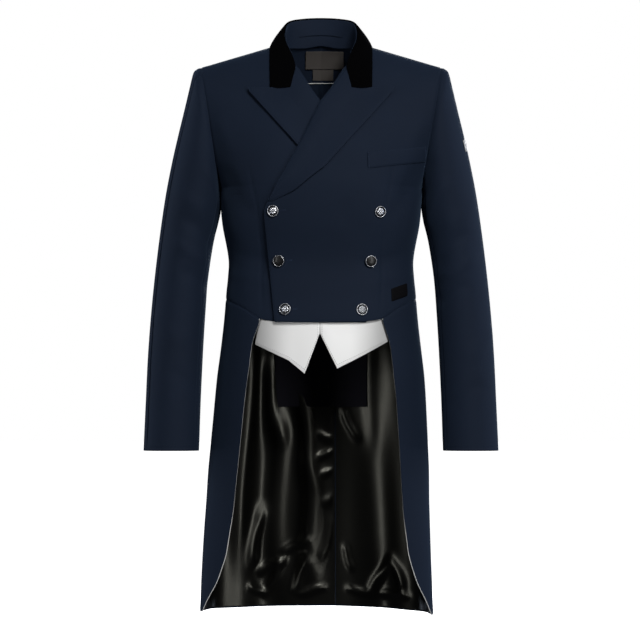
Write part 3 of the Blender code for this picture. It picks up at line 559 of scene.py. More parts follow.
@dataclass
class Bodice:
    """Fronts and backs above the waist seam."""

    finishes: Finishes
    arm_rows: int = 74
    lower_rows: int = 66
    columns: int = 84
    front_flat: tuple[float, float] = (0.36, 0.52)
    back_flat: tuple[float, float] = (0.24, 0.48)
    corner_reach: float = 0.008
    # Lengths that the rows and columns are spread over
    arm_length: float = 0.36
    lower_length: float = 0.22
    front_width: float = 0.28
    back_width: float = 0.26
    neck_share: float = 1.0 / 3.0
    front_dips: dict[str, float] = field(
        default_factory=lambda: {"top": 0.0016, "end": 0.0013, "foot": 0.0006, "start": 0.0007})
    back_dips: dict[str, float] = field(
        default_factory=lambda: {"top": 0.0014, "end": 0.0012, "foot": 0.0010, "start": 0.0012})
    dart: tuple[Crease, ...] = crease_rows(
        (122.5, -205, 110.5, -272, 1.3, -1.9), (111, -262, 103, -345, 1.3, -1.8),
        (103.5, -335, 101, -450, 1.3, -1.5), (118, -235, 104, -420, 11, -1.6),
    )
    front_creases: tuple[Crease, ...] = crease_rows(
        (168, -205, 120, -290, 9, -2.2), (176, -235, 140, -330, 8, 1.6),
        (150, -350, 60, -376, 8.5, -1.4), (158, -385, 80, -405, 7.5, 1.3),
        (30, -265, 70, -330, 12, -1.2), (150, -45, 105, -120, 15, -1.6),
        (172, -120, 150, -185, 10, 1.5),
    )
    back_creases: tuple[Crease, ...] = crease_rows(
        (165, -190, 115, -265, 1.2, -1.1), (117, -258, 78, -350, 1.2, -1.1),
        (79, -340, 60, -440, 1.2, -1), (168, -170, 120, -230, 10, -2),
        (150, -330, 50, -362, 8, -1.5), (140, -385, 40, -395, 8, 1.2),
        (20, -50, 100, -85, 12, 1.4),
    )

    def below_arm(self, face: Face) -> tuple[Array, Array]:
        """Turns and levels between the arm and the waist seam."""
        down = clustered(self.lower_rows, self.lower_length)[1:, None]
        columns = clustered(self.columns, self.front_width)[None, :]
        arm_z = LEVELS[ARM_LEVEL].front_z
        z = np.full(np.broadcast_shapes(down.shape, columns.shape), arm_z)
        for _ in range(SETTLINGS):
            level = FORM.level_at(z)
            start = FORM.inner_turn(level[:, :1]) if face is Face.FRONT else 0.0
            turn = start + (1.0 - start) * columns
            z = arm_z + (FORM.seam_z(share_of(turn), face) - arm_z) * down
        return turn + np.zeros(z.shape), FORM.level_at(z)

    def front_places(self) -> tuple[Array, Array]:
        """Turns and levels of a front's grid."""
        level = ARM_LEVEL * clustered(self.arm_rows, self.arm_length)[:-3, None]
        start = FORM.inner_turn(level)
        turn = start + (1.0 - start) * clustered(self.columns, self.front_width)[None, :]
        low_turn, low_level = self.below_arm(Face.FRONT)
        return (np.concatenate([turn, low_turn]),
                np.concatenate([level + np.zeros(turn.shape), low_level]))

    def front_grid(self, side: Side) -> Array:
        """Outer face of a front."""
        turn, level = self.front_places()
        flat = FORM.bare(Face.FRONT, share_of(turn), level)
        x, z = flat[..., 0], flat[..., 2]
        lift = FORM.front_lift(side, x, z) + creases_lift(self.dart + self.front_creases, x, z)
        grid = FORM.surface(Face.FRONT, share_of(turn), level, lift)
        grid[0, :, 1] -= SEAM
        return mirrored(rolled(grid, self.front_dips, share=self.corner_share(grid)), side)

    def corner_share(self, grid: Array) -> Array:
        """Share of the roll that is left near the corner under the arm, where four seams meet."""
        return 1.0 - np.exp(-((grid[..., 2] - LEVELS[ARM_LEVEL].front_z) / self.corner_reach) ** 2)

    def back_grid(self, side: Side) -> Array:
        """Outer face of a back, from the neckline and the centre seam to the armhole."""
        step = clustered(self.arm_rows, self.arm_length)[:-3, None]
        angle = math.pi / 2.0 * np.minimum(step / self.neck_share, 1.0)
        start = turn_of(BACK_NECK_WIDTH / LEVELS[0].half * np.cos(angle))
        armward = (step - self.neck_share) / (1.0 - self.neck_share)
        inner = np.where(step < self.neck_share, np.sin(angle), 1.0 + (ARM_LEVEL - 1.0) * armward)
        out = clustered(self.columns, self.back_width)[None, :]
        turn, level = start + (1.0 - start) * out, inner + (ARM_LEVEL * step - inner) * out
        low_turn, low_level = self.below_arm(Face.BACK)
        turn, level = np.concatenate([turn, low_turn]), np.concatenate([level, low_level])
        flat = FORM.bare(Face.BACK, share_of(turn), level)
        lift = creases_lift(self.back_creases, flat[..., 0], flat[..., 2])
        grid = FORM.surface(Face.BACK, share_of(turn), level, lift)
        grid[:, 0, 0] += np.where(grid[:, 0, 0] < SEAM, SEAM, 0.0)
        return mirrored(rolled(grid, self.back_dips, share=self.corner_share(grid)), side)

    def build(self) -> None:
        """Make both fronts and backs."""
        for side in Side:
            for word, grid, flat in (("front", self.front_grid(side), self.front_flat),
                                     ("back", self.back_grid(side), self.back_flat)):
                cut = Cut(word + "_" + side.word, "cloth", "navy_wool", WOOL, flat, ("sleeve_" + side.word,))
                cut.make(grid, self.finishes)


@dataclass(frozen=True)
class Fold:
    """Soft upright fold of a tail: where it is round the coat, its width there and its depth."""

    side: int
    turn: float
    width: float
    depth: float


FOLDS = (
    Fold(-1, 0.84, 0.10, +0.003), Fold(-1, 1.10, 0.11, -0.005), Fold(-1, 1.32, 0.10, +0.006),
    Fold(-1, 1.53, 0.09, -0.005), Fold(-1, 1.70, 0.08, +0.006), Fold(-1, 1.88, 0.07, -0.003),
    Fold(+1, 0.88, 0.10, +0.003), Fold(+1, 1.08, 0.10, -0.004), Fold(+1, 1.28, 0.10, +0.005),
    Fold(+1, 1.48, 0.08, -0.004), Fold(+1, 1.60, 0.08, +0.005), Fold(+1, 1.79, 0.08, -0.004),
)


@dataclass
class Tails:
    """Cutaway tails with their satin linings, piping and the vent between them."""

    finishes: Finishes
    rows: int = 130
    columns: int = 100
    flat: tuple[float, float] = (0.46, 0.56)
    lining_flat: tuple[float, float] = (0.45, 0.55)
    quarter_arc: float = 0.27
    top_z: float = -0.420
    back_hem_z: float = -0.955
    vent_sink: float = 0.0028
    vent_start: float = 1.86
    vent_ease: float = 0.09
    spread_start: float = -0.50
    spread_drop: float = 0.40
    fold_start: float = -0.47
    fold_full: float = -0.86
    piping_gap: float = 0.0042
    lining_gap: float = 0.0200
    piping_tuck: float = 0.0048
    piping_shown: float = -0.900
    piping_run: float = 0.160
    lining_up: float = 0.0022
    lining_clear: float = 0.0005
    hem_reach: float = 0.016
    # Lengths that the rows and columns are spread over
    width: float = 0.40
    length: float = 0.53
    # The linings' folds: their share at the hem, and the turns over which they die out at both edges
    hem_share: float = 0.45
    edge_ease: float = 0.08
    vent_side_ease: float = 0.04
    tip_z: dict[Side, float] = field(default_factory=lambda: {Side.LEFT: -0.966, Side.RIGHT: -0.960})
    spread: dict[Side, float] = field(default_factory=lambda: {Side.LEFT: -0.045, Side.RIGHT: 0.035})
    vent_end: dict[Side, float] = field(default_factory=lambda: {Side.LEFT: -0.011, Side.RIGHT: -0.024})
    lining_end: dict[Side, float] = field(default_factory=lambda: {Side.LEFT: 0.0256, Side.RIGHT: -0.0230})
    # Panel coordinates of these creases are the turn in quarter arcs, in metres, and the height
    wool_creases: tuple[Crease, ...] = crease_rows(
        (300, -470, 330, -640, 10, -2.2), (390, -460, 375, -600, 9, 2),
        (450, -480, 455, -690, 9, -1.8), (245, -520, 255, -760, 11, 1.8),
    )
    lining_creases: dict[Side, tuple[Crease, ...]] = field(default_factory=lambda: {
        Side.RIGHT: crease_rows(
            (408, -500, 402, -880, 12, 5.6), (444, -540, 470, -680, 10.5, 6.8),
            (472, -600, 474, -930, 12.5, 8), (502, -560, 524, -745, 9.5, 7),
            (524, -700, 528, -930, 11.5, 7.2), (556, -560, 566, -665, 7, 4),
            (535, -660, 572, -677, 3.6, 3.6), (533, -701, 572, -687, 3.6, 3.8),
            (540, -733, 572, -714, 3.6, 3.4), (546, -785, 570, -750, 5, 3.2),
            (446, -780, 428, -890, 7.5, 6), (440, -898, 488, -872, 5.5, 5),
            (480, -866, 522, -838, 5, 4.6), (462, -932, 479, -880, 4.5, 4.4),
            (502, -932, 519, -870, 5, 4.4), (540, -880, 562, -800, 4.5, 3.6),
            (505, -936, 548, -922, 4.2, 3.6), (425, -920, 462, -937, 4.5, 3.8),
        ),
        Side.LEFT: crease_rows(
            (506, -618, 478, -674, 4, 3.6), (440, -500, 428, -930, 23, 4.4),
            (462, -932, 424, -880, 6, 5), (422, -868, 388, -930, 7, 5.6),
            (503, -850, 490, -896, 3.2, 2.8), (500, -925, 450, -936, 4, 3.6),
            (448, -931, 375, -938, 4.5, 3.6),
        )})

    def point(self, side: Side, turn: Array, z: Array, lift: Array) -> Array:
        """Points of a tail: turn 0 is the middle of the front, 1 the side and 2 the centre back."""
        share, level = share_of(turn), FORM.level_at(z)
        grow = ease((self.fold_start - z) / (self.fold_start - self.fold_full))
        lift = lift + grow * sum(fold.depth * np.exp(-0.5 * ((turn - fold.turn) / fold.width) ** 2)
                                 for fold in FOLDS if fold.side == side.value)
        if side is Side.RIGHT:
            lift = lift - self.vent_sink * ease((turn - self.vent_start) / self.vent_ease)
        points = np.where((turn <= 1.0)[..., None], FORM.surface(Face.FRONT, share, level, lift),
                          FORM.surface(Face.BACK, share, level, lift))
        points[..., 0] *= 1.0 + self.spread[side] * ease((self.spread_start - z) / self.spread_drop)
        return mirrored(points, side)

    def places(self, side: Side, gap: float, end: float, up: float) -> tuple[Array, Array]:
        """Turns and heights of a grid on a tail.

        Args:
            side: The tail's side.
            gap: Turn between the cutaway edge and the first column.
            end: Where the last column lies, as x on the tail's own side.
            up: How far the last row stops above the hem.
        Returns:
            Turns and heights, both by row and column.
        """
        columns = clustered(self.columns, self.width)[None, :]
        down = clustered(self.rows, self.length)[:, None]
        z = np.full(np.broadcast_shapes(down.shape, columns.shape), self.top_z)
        for _ in range(SETTLINGS):
            half = FORM.values(Face.BACK, FORM.level_at(z))[..., 2]
            start, stop = FORM.cutaway_turn(z) + gap, 2.0 - turn_of(end / half)
            turn = start + (stop - start) * columns
            front = turn <= 1.0
            top = np.where(front, FORM.seam_z(share_of(turn), Face.FRONT) - WAIST_GAP,
                           FORM.seam_z(share_of(turn), Face.BACK) - 2.0 * SEAM)
            hem = self.tip_z[side] + (self.back_hem_z - self.tip_z[side]) * ease(turn - 1.0) + up
            z = top + (hem - top) * down
        return turn, z

    def tail_grid(self, side: Side) -> Array:
        """Outer face of a tail."""
        turn, z = self.places(side, self.piping_gap, self.vent_end[side], 0.0)
        lift = creases_lift(self.wool_creases, turn * self.quarter_arc, z)
        grid = self.point(side, turn, z, lift)
        return rolled(grid, {"top": 0.0012, "foot": 0.0006, "end": 0.0006})

    def lining_grid(self, side: Side) -> Array:
        """Outer face of a lining, which bags inwards in folds away from the tail."""
        turn, z = self.places(side, self.lining_gap, self.lining_end[side], self.lining_up)
        creases = creases_lift(self.wool_creases, turn * self.quarter_arc, z)
        bag = creases_lift(self.lining_creases[side], turn * self.quarter_arc, z)
        hem = ease((z - (self.back_hem_z + self.lining_up)) / self.hem_reach)
        edge = ease((turn - turn[:, :1]) / self.edge_ease) * ease((turn[:, -1:] - turn) / self.vent_side_ease)
        share = (self.hem_share + (1.0 - self.hem_share) * hem) * edge
        return self.point(side, turn, z, creases - WOOL - self.lining_clear - np.maximum(bag, 0.0) * share)

    def piping_line(self, side: Side) -> Array:
        """Middle line of the piping along the cutaway edge."""
        _, z = self.places(side, self.piping_gap, self.vent_end[side], 0.0)
        z = z[:, 0]
        tuck = ease((z - self.piping_shown) / self.piping_run)
        return self.point(side, FORM.cutaway_turn(z) + self.piping_tuck * tuck, z,
                          -WOOL / 2.0 - PIPING * tuck)

    def build(self) -> None:
        """Make both tails with their linings."""
        for side in Side:
            tail = Cut("tail_" + side.word, "cloth", "navy_wool", WOOL, self.flat,
                       ("front_" + side.word, "back_" + side.word))
            tail.make(self.tail_grid(side), self.finishes)
            lining = Cut("tail_lining_" + side.word, "satin", "black_satin", LINING, self.lining_flat,
                         (tail.name,))
            lining.make(self.lining_grid(side), self.finishes)


@dataclass(frozen=True)
class Ring:
    """Sleeve section: its outer and inner ends, middle depth and half depth."""

    outer_x: float
    outer_z: float
    inner_x: float
    inner_z: float
    middle_y: float
    half_depth: float


SLEEVE = (
    Ring(0.2050, -0.0370, 0.1710, -0.2450, 0.006, 0.0560),
    Ring(0.2110, -0.0400, 0.1709, -0.2462, 0.006, 0.0590),
    Ring(0.2170, -0.0470, 0.1709, -0.2480, 0.006, 0.0612),
    Ring(0.2235, -0.0730, 0.1710, -0.2505, 0.006, 0.0632),
    Ring(0.2325, -0.1110, 0.1712, -0.2550, 0.006, 0.0648),
    Ring(0.2425, -0.1520, 0.1708, -0.2630, 0.007, 0.0655),
    Ring(0.2530, -0.1980, 0.1702, -0.2760, 0.008, 0.0650),
    Ring(0.2640, -0.2550, 0.1738, -0.2990, 0.010, 0.0640),
    Ring(0.2740, -0.3230, 0.1826, -0.3360, 0.011, 0.0622),
    Ring(0.2825, -0.3930, 0.1915, -0.3950, 0.009, 0.0600),
    Ring(0.2890, -0.4600, 0.1965, -0.4600, 0.002, 0.0575),
    Ring(0.2940, -0.5300, 0.2005, -0.5300, -0.007, 0.0545),
    Ring(0.2975, -0.6080, 0.2040, -0.6080, -0.017, 0.0508),
    Ring(0.3010, -0.6870, 0.2065, -0.6870, -0.028, 0.0470),
)


@dataclass
class Sleeves:
    """Two-piece sleeves: tubes of rings from the armhole to the cuff."""

    finishes: Finishes
    rows: int = 190
    around: int = 132
    flat: tuple[float, float] = (0.40, 0.66)
    girth: float = 0.34
    hind_seam: dict[Side, float] = field(default_factory=lambda: {Side.LEFT: 5.55, Side.RIGHT: 0.50})
    fore_seam: float = 2.60
    tuck_in: float = 0.0060
    tuck_shrink: float = 0.0014
    seam_width: float = 0.0011
    hind_depth: float = 0.0024
    fore_depth: float = 0.0010
    # Creases: shift between the two sleeves, how they fade at the head and the cuff, share at the cuff
    crease_shift: float = 0.008
    head_ease: float = 0.8
    cuff_ease: float = 0.6
    cuff_share: float = 0.3
    roll: float = 0.0008
    roll_reach: float = 0.35
    # Angles beside each seam, and how close an even column may come to them
    near_seam: tuple[float, ...] = (-0.06, -0.04, -0.02, 0.0, 0.02, 0.04, 0.06)
    seam_clear: float = 0.012
    tuck_rows: int = 5
    head_rows: int = 14
    # Panel coordinates are the angle round the sleeve in metres of girth, and the height
    creases: tuple[Crease, ...] = crease_rows(
        (60, -300, 150, -360, 8.5, -3), (50, -345, 140, -385, 7, 2.4),
        (75, -395, 160, -425, 8, -2.6), (30, -250, 110, -300, 9, 2),
        (110, -180, 165, -260, 9, -2.8), (90, -215, 160, -300, 8, 2.2),
        (20, -470, 100, -520, 10, 1.6), (60, -560, 140, -600, 9, -1.6),
        (200, -320, 270, -390, 8.5, -2.6), (210, -370, 285, -420, 7.5, 2.2),
        (190, -190, 240, -280, 9, -2.2), (230, -500, 300, -560, 9, 1.6),
    )

    def ring_values(self, along: Array) -> Array:
        """Ring columns at places counted in rings from the armhole."""
        table = np.array([(r.outer_x, r.outer_z, r.inner_x, r.inner_z, r.middle_y, r.half_depth)
                          for r in SLEEVE])
        base = np.clip(np.floor(along).astype(int), 0, len(SLEEVE) - 2)
        four = [table[np.clip(base + step, 0, len(SLEEVE) - 1)] for step in (-1, 0, 1, 2)]
        return catmull(*four, (along - base)[..., None])

    def point(self, side: Side, angle: Array, along: Array, lift: Array | float = 0.0) -> Array:
        """Points of a sleeve: angle 0 is its outer edge, a quarter turn its front, below 0 along its tuck."""
        angle, along = np.broadcast_arrays(angle, along)
        ring, tuck = self.ring_values(np.maximum(along, 0.0)), np.minimum(along, 0.0)
        outer, inner = ring[..., [0, 4, 1]], ring[..., [2, 4, 3]]
        middle = (outer + inner) / 2.0
        points = middle + (outer - middle) * np.cos(angle)[..., None]
        points[..., 1] -= ring[..., 5] * np.sin(angle)
        points += unit(points - middle) * (np.asarray(lift) + self.tuck_shrink * tuck)[..., None]
        points[..., 0] += self.tuck_in * tuck
        return (points + np.array([SEAM, 0.0, 0.0])) * np.array([side.value, 1.0, 1.0])

    def middle(self, side: Side, along: Array) -> Array:
        """Middle of the sleeve at places counted in rings."""
        ring = self.ring_values(along)
        middle = (ring[..., [0, 4, 1]] + ring[..., [2, 4, 3]]) / 2.0
        return middle * np.array([side.value, 1.0, 1.0])

    def lift(self, side: Side, angle: Array, along: Array) -> Array:
        """Creases and the two seams as heights over the sleeve."""
        heights = self.point(side, angle, along)[..., 2]
        round_at = angle / (2.0 * math.pi) * self.girth
        shift = self.crease_shift * side.value
        total = creases_lift(self.creases, round_at + shift, heights + 1.5 * shift)
        for seam, depth in ((self.hind_seam[side], self.hind_depth), (self.fore_seam, self.fore_depth)):
            off = (angle - seam) / (2.0 * math.pi) * self.girth
            total = total - depth * np.exp(-0.5 * (off / self.seam_width) ** 2)
        head = ease(along / self.head_ease)
        cuff = ease((len(SLEEVE) - 1.0 - along) / self.cuff_ease)
        roll = self.roll * np.exp(-(along / self.roll_reach) ** 2)
        return total * head * (self.cuff_share + (1.0 - self.cuff_share) * cuff) - roll

    def angles(self, side: Side) -> Array:
        """Angles round the sleeve, closer together at its two seams."""
        even = np.linspace(0.0, 2.0 * math.pi, self.around, endpoint=False)
        near = np.array(self.near_seam)
        extra = np.concatenate([self.hind_seam[side] + near, self.fore_seam + near])
        keep = [angle for angle in even if np.min(np.abs(angle - extra)) > self.seam_clear]
        return np.sort(np.concatenate([keep, extra]))

    def build(self) -> None:
        """Make both sleeves."""
        along = np.concatenate([np.linspace(-1.0, 0.0, self.tuck_rows)[:-1],
                                np.linspace(0.0, 1.0, self.head_rows)[:-1],
                                np.linspace(1.0, len(SLEEVE) - 1.0, self.rows)])[:, None]
        for side in Side:
            angle = self.angles(side)[None, :]
            grid = self.point(side, angle, along, self.lift(side, angle, along))
            middle = self.middle(side, np.maximum(along, 0.0) + np.zeros(angle.shape))
            sleeve = Cut("sleeve_" + side.word, "cloth", "navy_wool", WOOL, self.flat,
                         ("front_" + side.word, "back_" + side.word))
            sleeve.make(grid, self.finishes, middle, closed=True)


LAPEL_CREASE = ((-0.0895, -0.2655), (-0.0396, -0.1735), (-0.0015, -0.0980), (0.0160, -0.0755),
                (0.0425, -0.0375))
LAPEL_OUTER = ((-0.0860, -0.2665), (-0.0454, -0.2450), (0.0053, -0.2060), (0.0425, -0.1650),
               (0.1205, -0.0794), (0.1205, -0.0740))
LAPEL_TOP = ((0.0425, -0.0375), (0.0520, -0.0732), (0.0860, -0.0732), (0.1205, -0.0740))

# Velvet collar on the left half, front to centre back: crest, fall edge, foot of the inner stand
COLLAR = (
    ((0.0525, -0.0737, -0.0705), (0.0864, -0.0664, -0.0705), None),
    ((0.0480, -0.0640, -0.0530), (0.0868, -0.0533, -0.0500), None),
    ((0.0445, -0.0520, -0.0335), (0.0872, -0.0365, -0.0290), None),
    ((0.0520, -0.0330, -0.0100), (0.0875, -0.0117, -0.0068), (0.0612, -0.0248, -0.0108)),
    ((0.0620, -0.0020, +0.0120), (0.0870, +0.0050, +0.0004), (0.0738, +0.0040, +0.0024)),
    ((0.0625, +0.0220, +0.0330), (0.0850, +0.0352, -0.0010), (0.0690, +0.0290, +0.0025)),
    ((0.0550, +0.0430, +0.0430), (0.0720, +0.0545, -0.0043), (0.0490, +0.0500, +0.0026)),
    ((0.0320, +0.0580, +0.0475), (0.0400, +0.0645, -0.0025), (0.0250, +0.0592, +0.0030)),
    ((0.0000, +0.0630, +0.0490), (0.0000, +0.0695, +0.0005), (0.0000, +0.0617, +0.0068)),
)


def run_lengths(points: Array) -> Array:
    """Length of a line of points up to each point."""
    return np.concatenate([[0.0], np.cumsum(np.linalg.norm(np.diff(points, axis=0), axis=-1))])


def along_line(spots: tuple[tuple[float, float], ...], share: Array, softness: float = 0.0) -> Array:
    """Places at shares of the length of a line of spots, with soft corners."""
    spots = np.array(spots)
    lengths = run_lengths(spots)
    places = [share * lengths[-1] + offset for offset in np.linspace(-1.0, 1.0, 5) * softness]
    columns = [np.mean([np.interp(at, lengths, spots[:, k]) for at in places], axis=0) for k in (0, 1)]
    return np.stack(columns, axis=-1)


def finer(rows: Array, times: int) -> Array:
    """Rows of points with smooth rows added between them."""
    last = len(rows) - 1
    at = np.linspace(0.0, last, last * times + 1)
    base = np.minimum(np.floor(at).astype(int), last - 1)
    four = [rows[np.clip(base + step, 0, last)] for step in (-1, 0, 1, 2)]
    return catmull(*four, (at - base).reshape((-1,) + (1,) * (rows.ndim - 1)))


def both_halves(rows: Array) -> Array:
    """Rows from the left front round the neck to the right front."""
    return np.concatenate([rows, rows[-2::-1] * np.array([-1.0, 1.0, 1.0])])


@dataclass
class Collar:
    """Peak lapels, the velvet fall and its inner stand."""

    finishes: Finishes
    lapel_rows: int = 120
    lapel_columns: int = 56
    lapel_flat: tuple[float, float] = (0.11, 0.30)
    fall_flat: tuple[float, float] = (0.075, 0.46)
    stand_flat: tuple[float, float] = (0.055, 0.27)
    bulge: float = 0.0035
    stand_in: float = 0.0026
    stand_down: float = 0.0030
    foot_shift: tuple[float, float, float] = (0.0, -0.0022, -0.0050)
    neck_middle: tuple[float, float, float] = (0.0, 0.010, -0.030)
    fine: int = 14
    across: int = 34
    lapel_roll: float = 0.0016
    lapel_stand_off: float = 0.0046
    lapel_length: float = 0.29
    lapel_width: float = 0.10
    lapel_rim: float = 0.0010
    crease_softness: float = 0.004
    outer_softness: float = 0.0015
    # How soon the lapel's roll ends across it, and how soon roll and stand-off start up from its foot
    roll_across: float = 2.2
    roll_up: float = 6.0
    off_up: float = 4.0
    fall_width: float = 0.045
    stand_width: float = 0.040
    stand_columns: int = 24
    creases: tuple[Crease, ...] = crease_rows(
        (-20, -150, 40, -120, 11, 1), (-60, -235, -10, -170, 8, 1.2),
        (60, -85, 100, -85, 7, -0.8),
    )

    def lapel_spots(self) -> Array:
        """Places x and z on a lapel, up from its foot and across from its crease."""
        up = clustered(self.lapel_rows, self.lapel_length)[:, None, None]
        across = clustered(self.lapel_columns, self.lapel_width)[None, :, None]
        crease = along_line(LAPEL_CREASE, up[..., 0], self.crease_softness)
        outer = along_line(LAPEL_OUTER, up[..., 0], self.outer_softness)
        foot = along_line((LAPEL_CREASE[0], LAPEL_OUTER[0]), across[..., 0])
        top = along_line(LAPEL_TOP, across[..., 0])
        corners = (np.array(LAPEL_CREASE[0]) * (1.0 - across) * (1.0 - up)
                   + np.array(LAPEL_OUTER[0]) * across * (1.0 - up)
                   + np.array(LAPEL_TOP[0]) * (1.0 - across) * up + np.array(LAPEL_TOP[-1]) * across * up)
        return crease * (1.0 - across) + outer * across + foot * (1.0 - up) + top * up - corners

    def lapel_grid(self, side: Side) -> Array:
        """Outer face of a lapel, which stands off its front a little at its edge."""
        spots = self.lapel_spots()
        x, z = spots[..., 0], spots[..., 1]
        across = np.linspace(0.0, 1.0, x.shape[1])[None, :]
        up = np.linspace(0.0, 1.0, x.shape[0])[:, None]
        roll = np.sin(math.pi * np.minimum(across * self.roll_across, 1.0)) * ease(up * self.roll_up)
        off = self.lapel_roll * roll + self.lapel_stand_off * across ** 3 * ease(up * self.off_up)
        lift = FORM.front_lift(side, x, z) + LAYER + WOOL + off + creases_lift(self.creases, x, z)
        grid = FORM.at(Face.FRONT, x, z, lift)
        return mirrored(rolled(grid, dict.fromkeys(("start", "end", "top"), self.lapel_rim)), side)

    def neck(self, grid: Array) -> Array:
        """The neck's middle, once for each point of a grid."""
        return grid * 0.0 + np.array(self.neck_middle)

    def fall_grid(self) -> Array:
        """Velvet fall from its crest to its edge."""
        crest = finer(both_halves(np.array([row[0] for row in COLLAR])), self.fine)[:, None]
        edge = finer(both_halves(np.array([row[1] for row in COLLAR])), self.fine)[:, None]
        middle = (crest + edge) / 2.0
        out = unit(middle - np.array(self.neck_middle))
        across = clustered(self.across, self.fall_width)[None, :, None]
        grid = crest + (edge - crest) * across + out * self.bulge * np.sin(math.pi * across)
        return rolled(grid, {"end": 0.0006, "start": 0.0004}, self.neck(grid))

    def stand_grid(self) -> Array:
        """Inner stand from the neckline to just under the crest."""
        crest = np.array([row[0] for row in COLLAR if row[2]])
        foot = np.array([row[2] for row in COLLAR if row[2]]) + np.array(self.foot_shift)
        inward = np.array(self.neck_middle) * np.array([0.0, 1.0, 0.0]) - crest * np.array([1.0, 1.0, 0.0])
        top = crest + unit(inward) * self.stand_in - np.array([0.0, 0.0, self.stand_down])
        foot, top = finer(both_halves(foot), self.fine)[:, None], finer(both_halves(top), self.fine)[:, None]
        across = clustered(self.stand_columns, self.stand_width)[None, :, None]
        return foot + (top - foot) * across

    def build(self) -> None:
        """Make the collar's pieces."""
        for side in Side:
            lapel = Cut("lapel_" + side.word, "cloth", "navy_wool", WOOL, self.lapel_flat,
                        ("front_" + side.word,))
            lapel.make(self.lapel_grid(side), self.finishes)
        fall = Cut("collar_fall", "velvet", "black_velvet", VELVET, self.fall_flat,
                   ("lapel_left", "lapel_right"))
        stand = Cut("collar_stand", "cloth", "navy_wool", WOOL, self.stand_flat, ("collar_fall",))
        for cut, grid in ((fall, self.fall_grid()), (stand, self.stand_grid())):
            cut.make(grid, self.finishes, self.neck(grid))


# Direction that no cord runs along
CORD_AIM = (0.0, 1.0, 0.03)


def cord(name: str, line: Array, radius: float, sides: int = 10) -> bpy.types.Object:
    """Round cord along a line of points, closed at both ends."""
    run = unit(np.gradient(line, axis=0))
    across = unit(np.cross(run, np.array(CORD_AIM)))
    other = np.cross(run, across)
    angle = np.linspace(0.0, 2.0 * math.pi, sides, endpoint=False)[None, :, None]
    rings = line[:, None] + radius * (np.cos(angle) * across[:, None] - np.sin(angle) * other[:, None])
    return capped(name, rings, rings[[0, -1]].mean(axis=1))


class Stitching:
    """Rows of small stitches laid along lines by one Geometry Nodes tree."""

    def __init__(self) -> None:
        """Build the tree with its named inputs."""
        tree = bpy.data.node_groups.new("stitch_row", "GeometryNodeTree")
        face = tree.interface
        face.new_socket("Geometry", in_out="INPUT", socket_type="NodeSocketGeometry")
        for name in ("Spacing", "Stitch length", "Thread radius"):
            face.new_socket(name, in_out="INPUT", socket_type="NodeSocketFloat")
        face.new_socket("Thread", in_out="INPUT", socket_type="NodeSocketMaterial")
        face.new_socket("Geometry", in_out="OUTPUT", socket_type="NodeSocketGeometry")
        given = add(tree, "NodeGroupInput").outputs
        points = add(tree, "GeometryNodeCurveToPoints", {"mode": "LENGTH"},
                     {"Curve": given["Geometry"], "Length": given["Spacing"]}).outputs
        half = add(tree, "ShaderNodeMath", {"operation": "MULTIPLY"}, {0: given["Stitch length"], 1: 0.5})
        size = add(tree, "ShaderNodeCombineXYZ", None,
                   {"X": given["Thread radius"], "Y": given["Thread radius"], "Z": half.outputs[0]})
        bead = add(tree, "GeometryNodeMeshUVSphere", None, {"Segments": 6, "Rings": 5, "Radius": 1.0})
        place = add(tree, "GeometryNodeInstanceOnPoints", None,
                    {"Points": points["Points"], "Instance": bead.outputs["Mesh"],
                     "Rotation": points["Rotation"], "Scale": size.outputs[0]})
        real = add(tree, "GeometryNodeRealizeInstances", None, {"Geometry": place.outputs["Instances"]})
        paint = add(tree, "GeometryNodeSetMaterial", None,
                    {"Geometry": real.outputs["Geometry"], "Material": given["Thread"]})
        add(tree, "NodeGroupOutput", None, {"Geometry": paint.outputs["Geometry"]})
        self.tree = tree

    def sew(self, name: str, lines: list[Array], spacing: float, length: float, radius: float,
            thread: bpy.types.Material) -> bpy.types.Object:
        """Stitches along lines of points.

        Args:
            name: The piece's name.
            lines: Lines on the cloth, each an array of points.
            spacing: From the middle of a stitch to the next one's.
            length: One stitch's length.
            radius: The thread's radius.
            thread: The thread's finish.
        Returns:
            One mesh of all the stitches.
        """
        curve = bpy.data.curves.new(name + "_path", "CURVE")
        curve.dimensions = "3D"
        for line in lines:
            spline = curve.splines.new("POLY")
            spline.points.add(len(line) - 1)
            spline.points.foreach_set("co", np.column_stack([line, np.ones(len(line))]).reshape(-1))
        path = in_scene(name + "_path", curve)
        rows = path.modifiers.new("stitches", "NODES")
        rows.node_group = self.tree
        sockets = {item.name: item.identifier for item in self.tree.interface.items_tree
                   if item.in_out == "INPUT"}
        for socket, value in (("Spacing", spacing), ("Stitch length", length),
                              ("Thread radius", radius), ("Thread", thread)):
            rows[sockets[socket]] = value
        graph = bpy.context.evaluated_depsgraph_get()
        mesh = bpy.data.meshes.new_from_object(path.evaluated_get(graph))
        path.modifiers.remove(rows)
        bpy.data.objects.remove(path)
        bpy.data.curves.remove(curve)
        mesh.shade_smooth()
        return in_scene(name, mesh)


POINT_FEET = {
    Side.LEFT: ((-0.0016, -0.4880), (0.0277, -0.5470), (0.0700, -0.5260), (0.1165, -0.5010)),
    Side.RIGHT: ((0.0024, -0.4880), (0.0280, -0.5560), (0.0560, -0.5330), (0.1145, -0.5060)),
}


